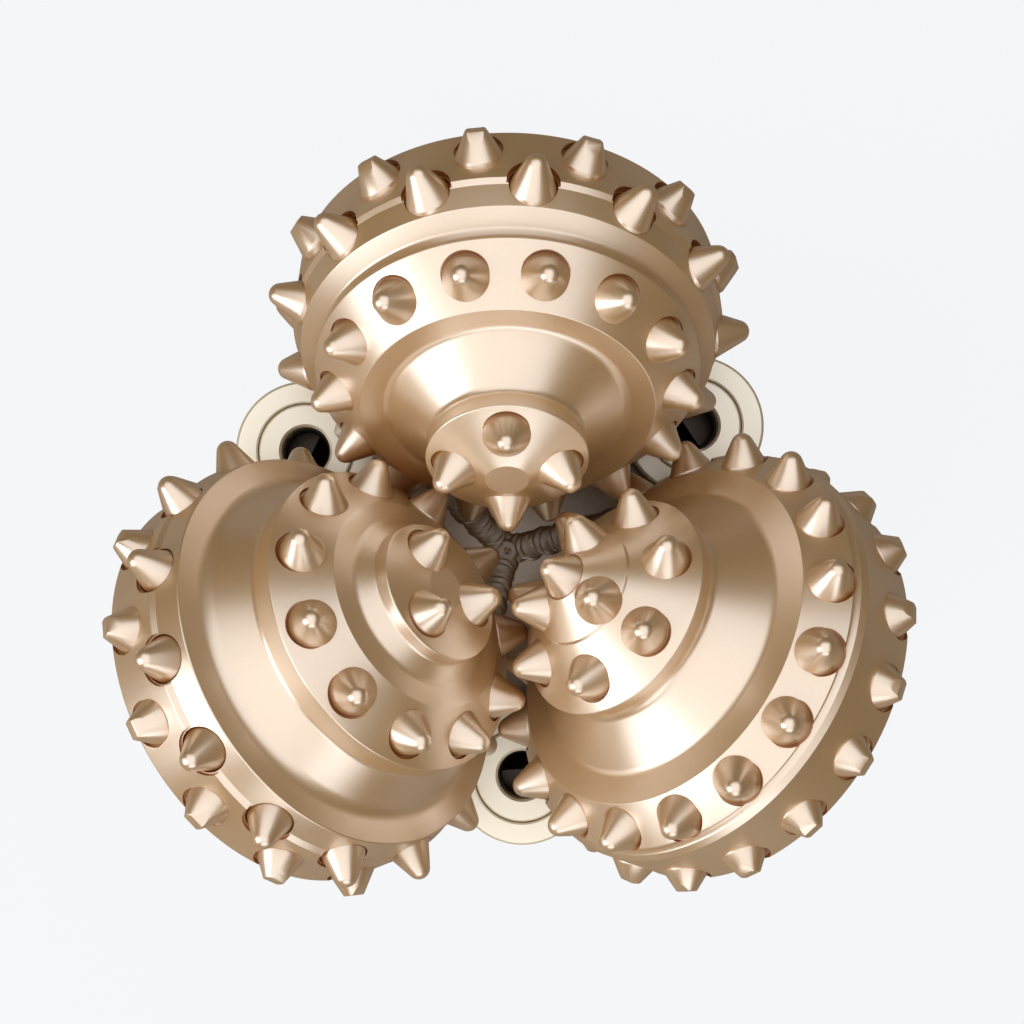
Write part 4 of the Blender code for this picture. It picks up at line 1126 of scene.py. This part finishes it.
# The nozzle's carbide is near black, darker than bare carbide, so that its bore reads black: partly the
# carbide's own dark grey, partly painted shade.
carbide = turned_metal("carbide", (0.035, 0.033, 0.03), (0.015, 0.014, 0.013), 0.55, 0.4)
zinc = turned_metal("zinc_steel", (0.70, 0.68, 0.62), (0.52, 0.50, 0.45), 0.35)
rubber = turned_metal("seal_rubber", (0.045, 0.045, 0.045), (0.02, 0.02, 0.02), 0.6, 0.0)


# %% Dressing every piece
def dress(piece, material):
    """Give a piece its one finish."""
    piece.data.materials.clear()
    piece.data.materials.append(material)


for tag in CONES:
    dress(cones[tag][0], gold)
    dress(cones[tag][1], insert_gold)
    dress(legs[tag][0], forged_gold)
    dress(legs[tag][1], steel)
    # The nozzle retainers and boss rings take the painted-highlight copy of the gold paint.
    dress(nozzles[tag][0], painted_highlight_gold)
    dress(nozzles[tag][1], carbide)
    dress(nozzles[tag][2], painted_highlight_gold)
    dress(reservoirs[tag][0], zinc)
    dress(reservoirs[tag][1], forged_gold)
    dress(ball_rings[tag], steel)
for weld in welds:
    dress(weld, weld_brown)
dress(pin_piece, steel)

KEPT = {
    "journal_bushing": (bronze, "bearing_bronze"),
    "pilot_bushing": (bronze, "bearing_bronze"),
    "thrust_washer": (bronze, "bearing_bronze"),
    "ball_plug": (steel, "bearing_steel"),
    "cone_seal": (rubber, "seal_rubber"),
    "nozzle_o_ring": (rubber, "seal_rubber"),
    "reservoir_canister": (steel, "bearing_steel"),
    "reservoir_diaphragm": (rubber, "seal_rubber"),
}
kept = 0
for kind, (material, slot) in KEPT.items():
    for tag in CONES:
        for index in range(len(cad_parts[f"{kind}_{tag}"].material_slots)):
            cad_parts[f"{kind}_{tag}"].material_slots[index].material = material
        kept += 1
print("solids kept with a new finish:", kept)

# %% [markdown]
# ## Floor, light and camera
# The photograph is taken straight down the bit's axis from above its cones, on white. The floor and
# the sky look pale to the camera alone, and stay dim in the paint's reflections. One broad soft light
# overhead models the cones, with a weaker one from the left and one from the front.

# %% Floor and sky
PALE_FLOOR, SEEN_FLOOR, DIM_FLOOR = (0.933, 0.948, 0.968), (0.86, 0.88, 0.90), (0.30, 0.27, 0.24)
PALE_SKY, DIM_SKY = (0.865, 0.88, 0.90), (0.13, 0.100, 0.066)


def backdrop():
    """A pale floor under the pin that still takes the bit's shadow."""
    leave_edit()
    bpy.ops.mesh.primitive_plane_add(size=8.0, location=(0.0, 0.0, -0.0005))
    ground = bpy.context.object
    ground.name = "floor"
    edit(ground)
    bpy.ops.mesh.select_all(action="SELECT")
    bpy.ops.mesh.subdivide(number_cuts=4)
    leave_edit()
    material, tree, shader = new_material("floor")
    shader.inputs["Roughness"].default_value = 0.9
    glow = tree.nodes.new("ShaderNodeEmission")
    glow.inputs["Color"].default_value = (*PALE_FLOOR, 1.0)
    path = tree.nodes.new("ShaderNodeLightPath")
    blend = tree.nodes.new("ShaderNodeMixShader")
    seen = mixed(tree, path.outputs["Is Camera Ray"], DIM_FLOOR, SEEN_FLOOR)
    tree.links.new(seen, shader.inputs["Base Color"])
    share = tree.nodes.new("ShaderNodeMath")
    share.operation = "MULTIPLY"
    share.inputs[1].default_value = 0.9
    tree.links.new(path.outputs["Is Camera Ray"], share.inputs[0])
    tree.links.new(share.outputs[0], blend.inputs["Fac"])
    tree.links.new(shader.outputs["BSDF"], blend.inputs[1])
    tree.links.new(glow.outputs["Emission"], blend.inputs[2])
    tree.links.new(blend.outputs["Shader"], tree.nodes["Material Output"].inputs["Surface"])
    ground.data.materials.append(material)
    ground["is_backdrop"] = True
    return ground


ground = backdrop()
world = bpy.data.worlds.new("studio")
bpy.context.scene.world = world
world.use_nodes = True
sky = world.node_tree.nodes["Background"]
rays = world.node_tree.nodes.new("ShaderNodeLightPath")
pale = mixed(world.node_tree, rays.outputs["Is Camera Ray"], DIM_SKY, PALE_SKY)
world.node_tree.links.new(pale, sky.inputs["Color"])
print("floor at", round(ground.location.z / MM, 1), "mm")


# %% Lights
def softbox(name, place, size, power, colour=(1.0, 0.98, 0.94)):
    """A large soft light that faces the cones."""
    leave_edit()
    bpy.ops.object.light_add(type="AREA", location=place)
    lamp = bpy.context.object
    lamp.name = name
    lamp.data.shape = "RECTANGLE"
    lamp.data.size, lamp.data.size_y = size
    lamp.data.energy = power
    lamp.data.color = colour
    aim = Vector((0.0, 0.0, 0.2)) - Vector(place)
    lamp.rotation_mode = "QUATERNION"
    lamp.rotation_quaternion = aim.to_track_quat("-Z", "Y")
    return lamp


softbox("overhead", (-0.05, 0.0, 1.55), (2.7, 2.4), 24.0)
softbox("side_left", (-1.2, -0.5, 0.85), (0.9, 0.9), 9.0)
softbox("low_front", (0.1, -1.3, 0.85), (1.2, 0.7), 5.0)


# %% Camera
FOCAL_PIXELS = 2400.0
PICTURE = 1024.0
DISTANCE = 610.7 * MM
CENTRE_X, CENTRE_Y = 509.97, 547.89
TILT_X, TILT_Y, ROLL = -0.00778, 0.00763, math.radians(-0.54)
bpy.ops.object.camera_add()
camera = bpy.context.object
camera.data.sensor_width = 36.0
camera.data.lens = FOCAL_PIXELS / PICTURE * 36.0
camera.data.shift_x = (PICTURE / 2.0 - CENTRE_X) / PICTURE
camera.data.shift_y = (CENTRE_Y - PICTURE / 2.0) / PICTURE
camera.data.clip_start, camera.data.clip_end = 0.05, 20.0
turn = Matrix.Rotation(TILT_Y, 4, "Y") @ Matrix.Rotation(TILT_X, 4, "X") @ Matrix.Rotation(ROLL, 4, "Z")
aim = Matrix.Translation((0.0, 0.0, APEX)) @ turn.inverted() @ Matrix.Translation((0.0, 0.0, DISTANCE))
camera.matrix_world = aim
bpy.context.scene.camera = camera
bpy.context.scene.view_settings.view_transform = "Standard"
print("camera", [round(v, 4) for v in camera.location], "lens", round(camera.data.lens, 1))

# %% Size of the finished bit
final_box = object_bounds()
for name, box in (("solids", cad_box), ("finished", final_box)):
    print(name, [round(v / MM, 2) for corner in box for v in corner])
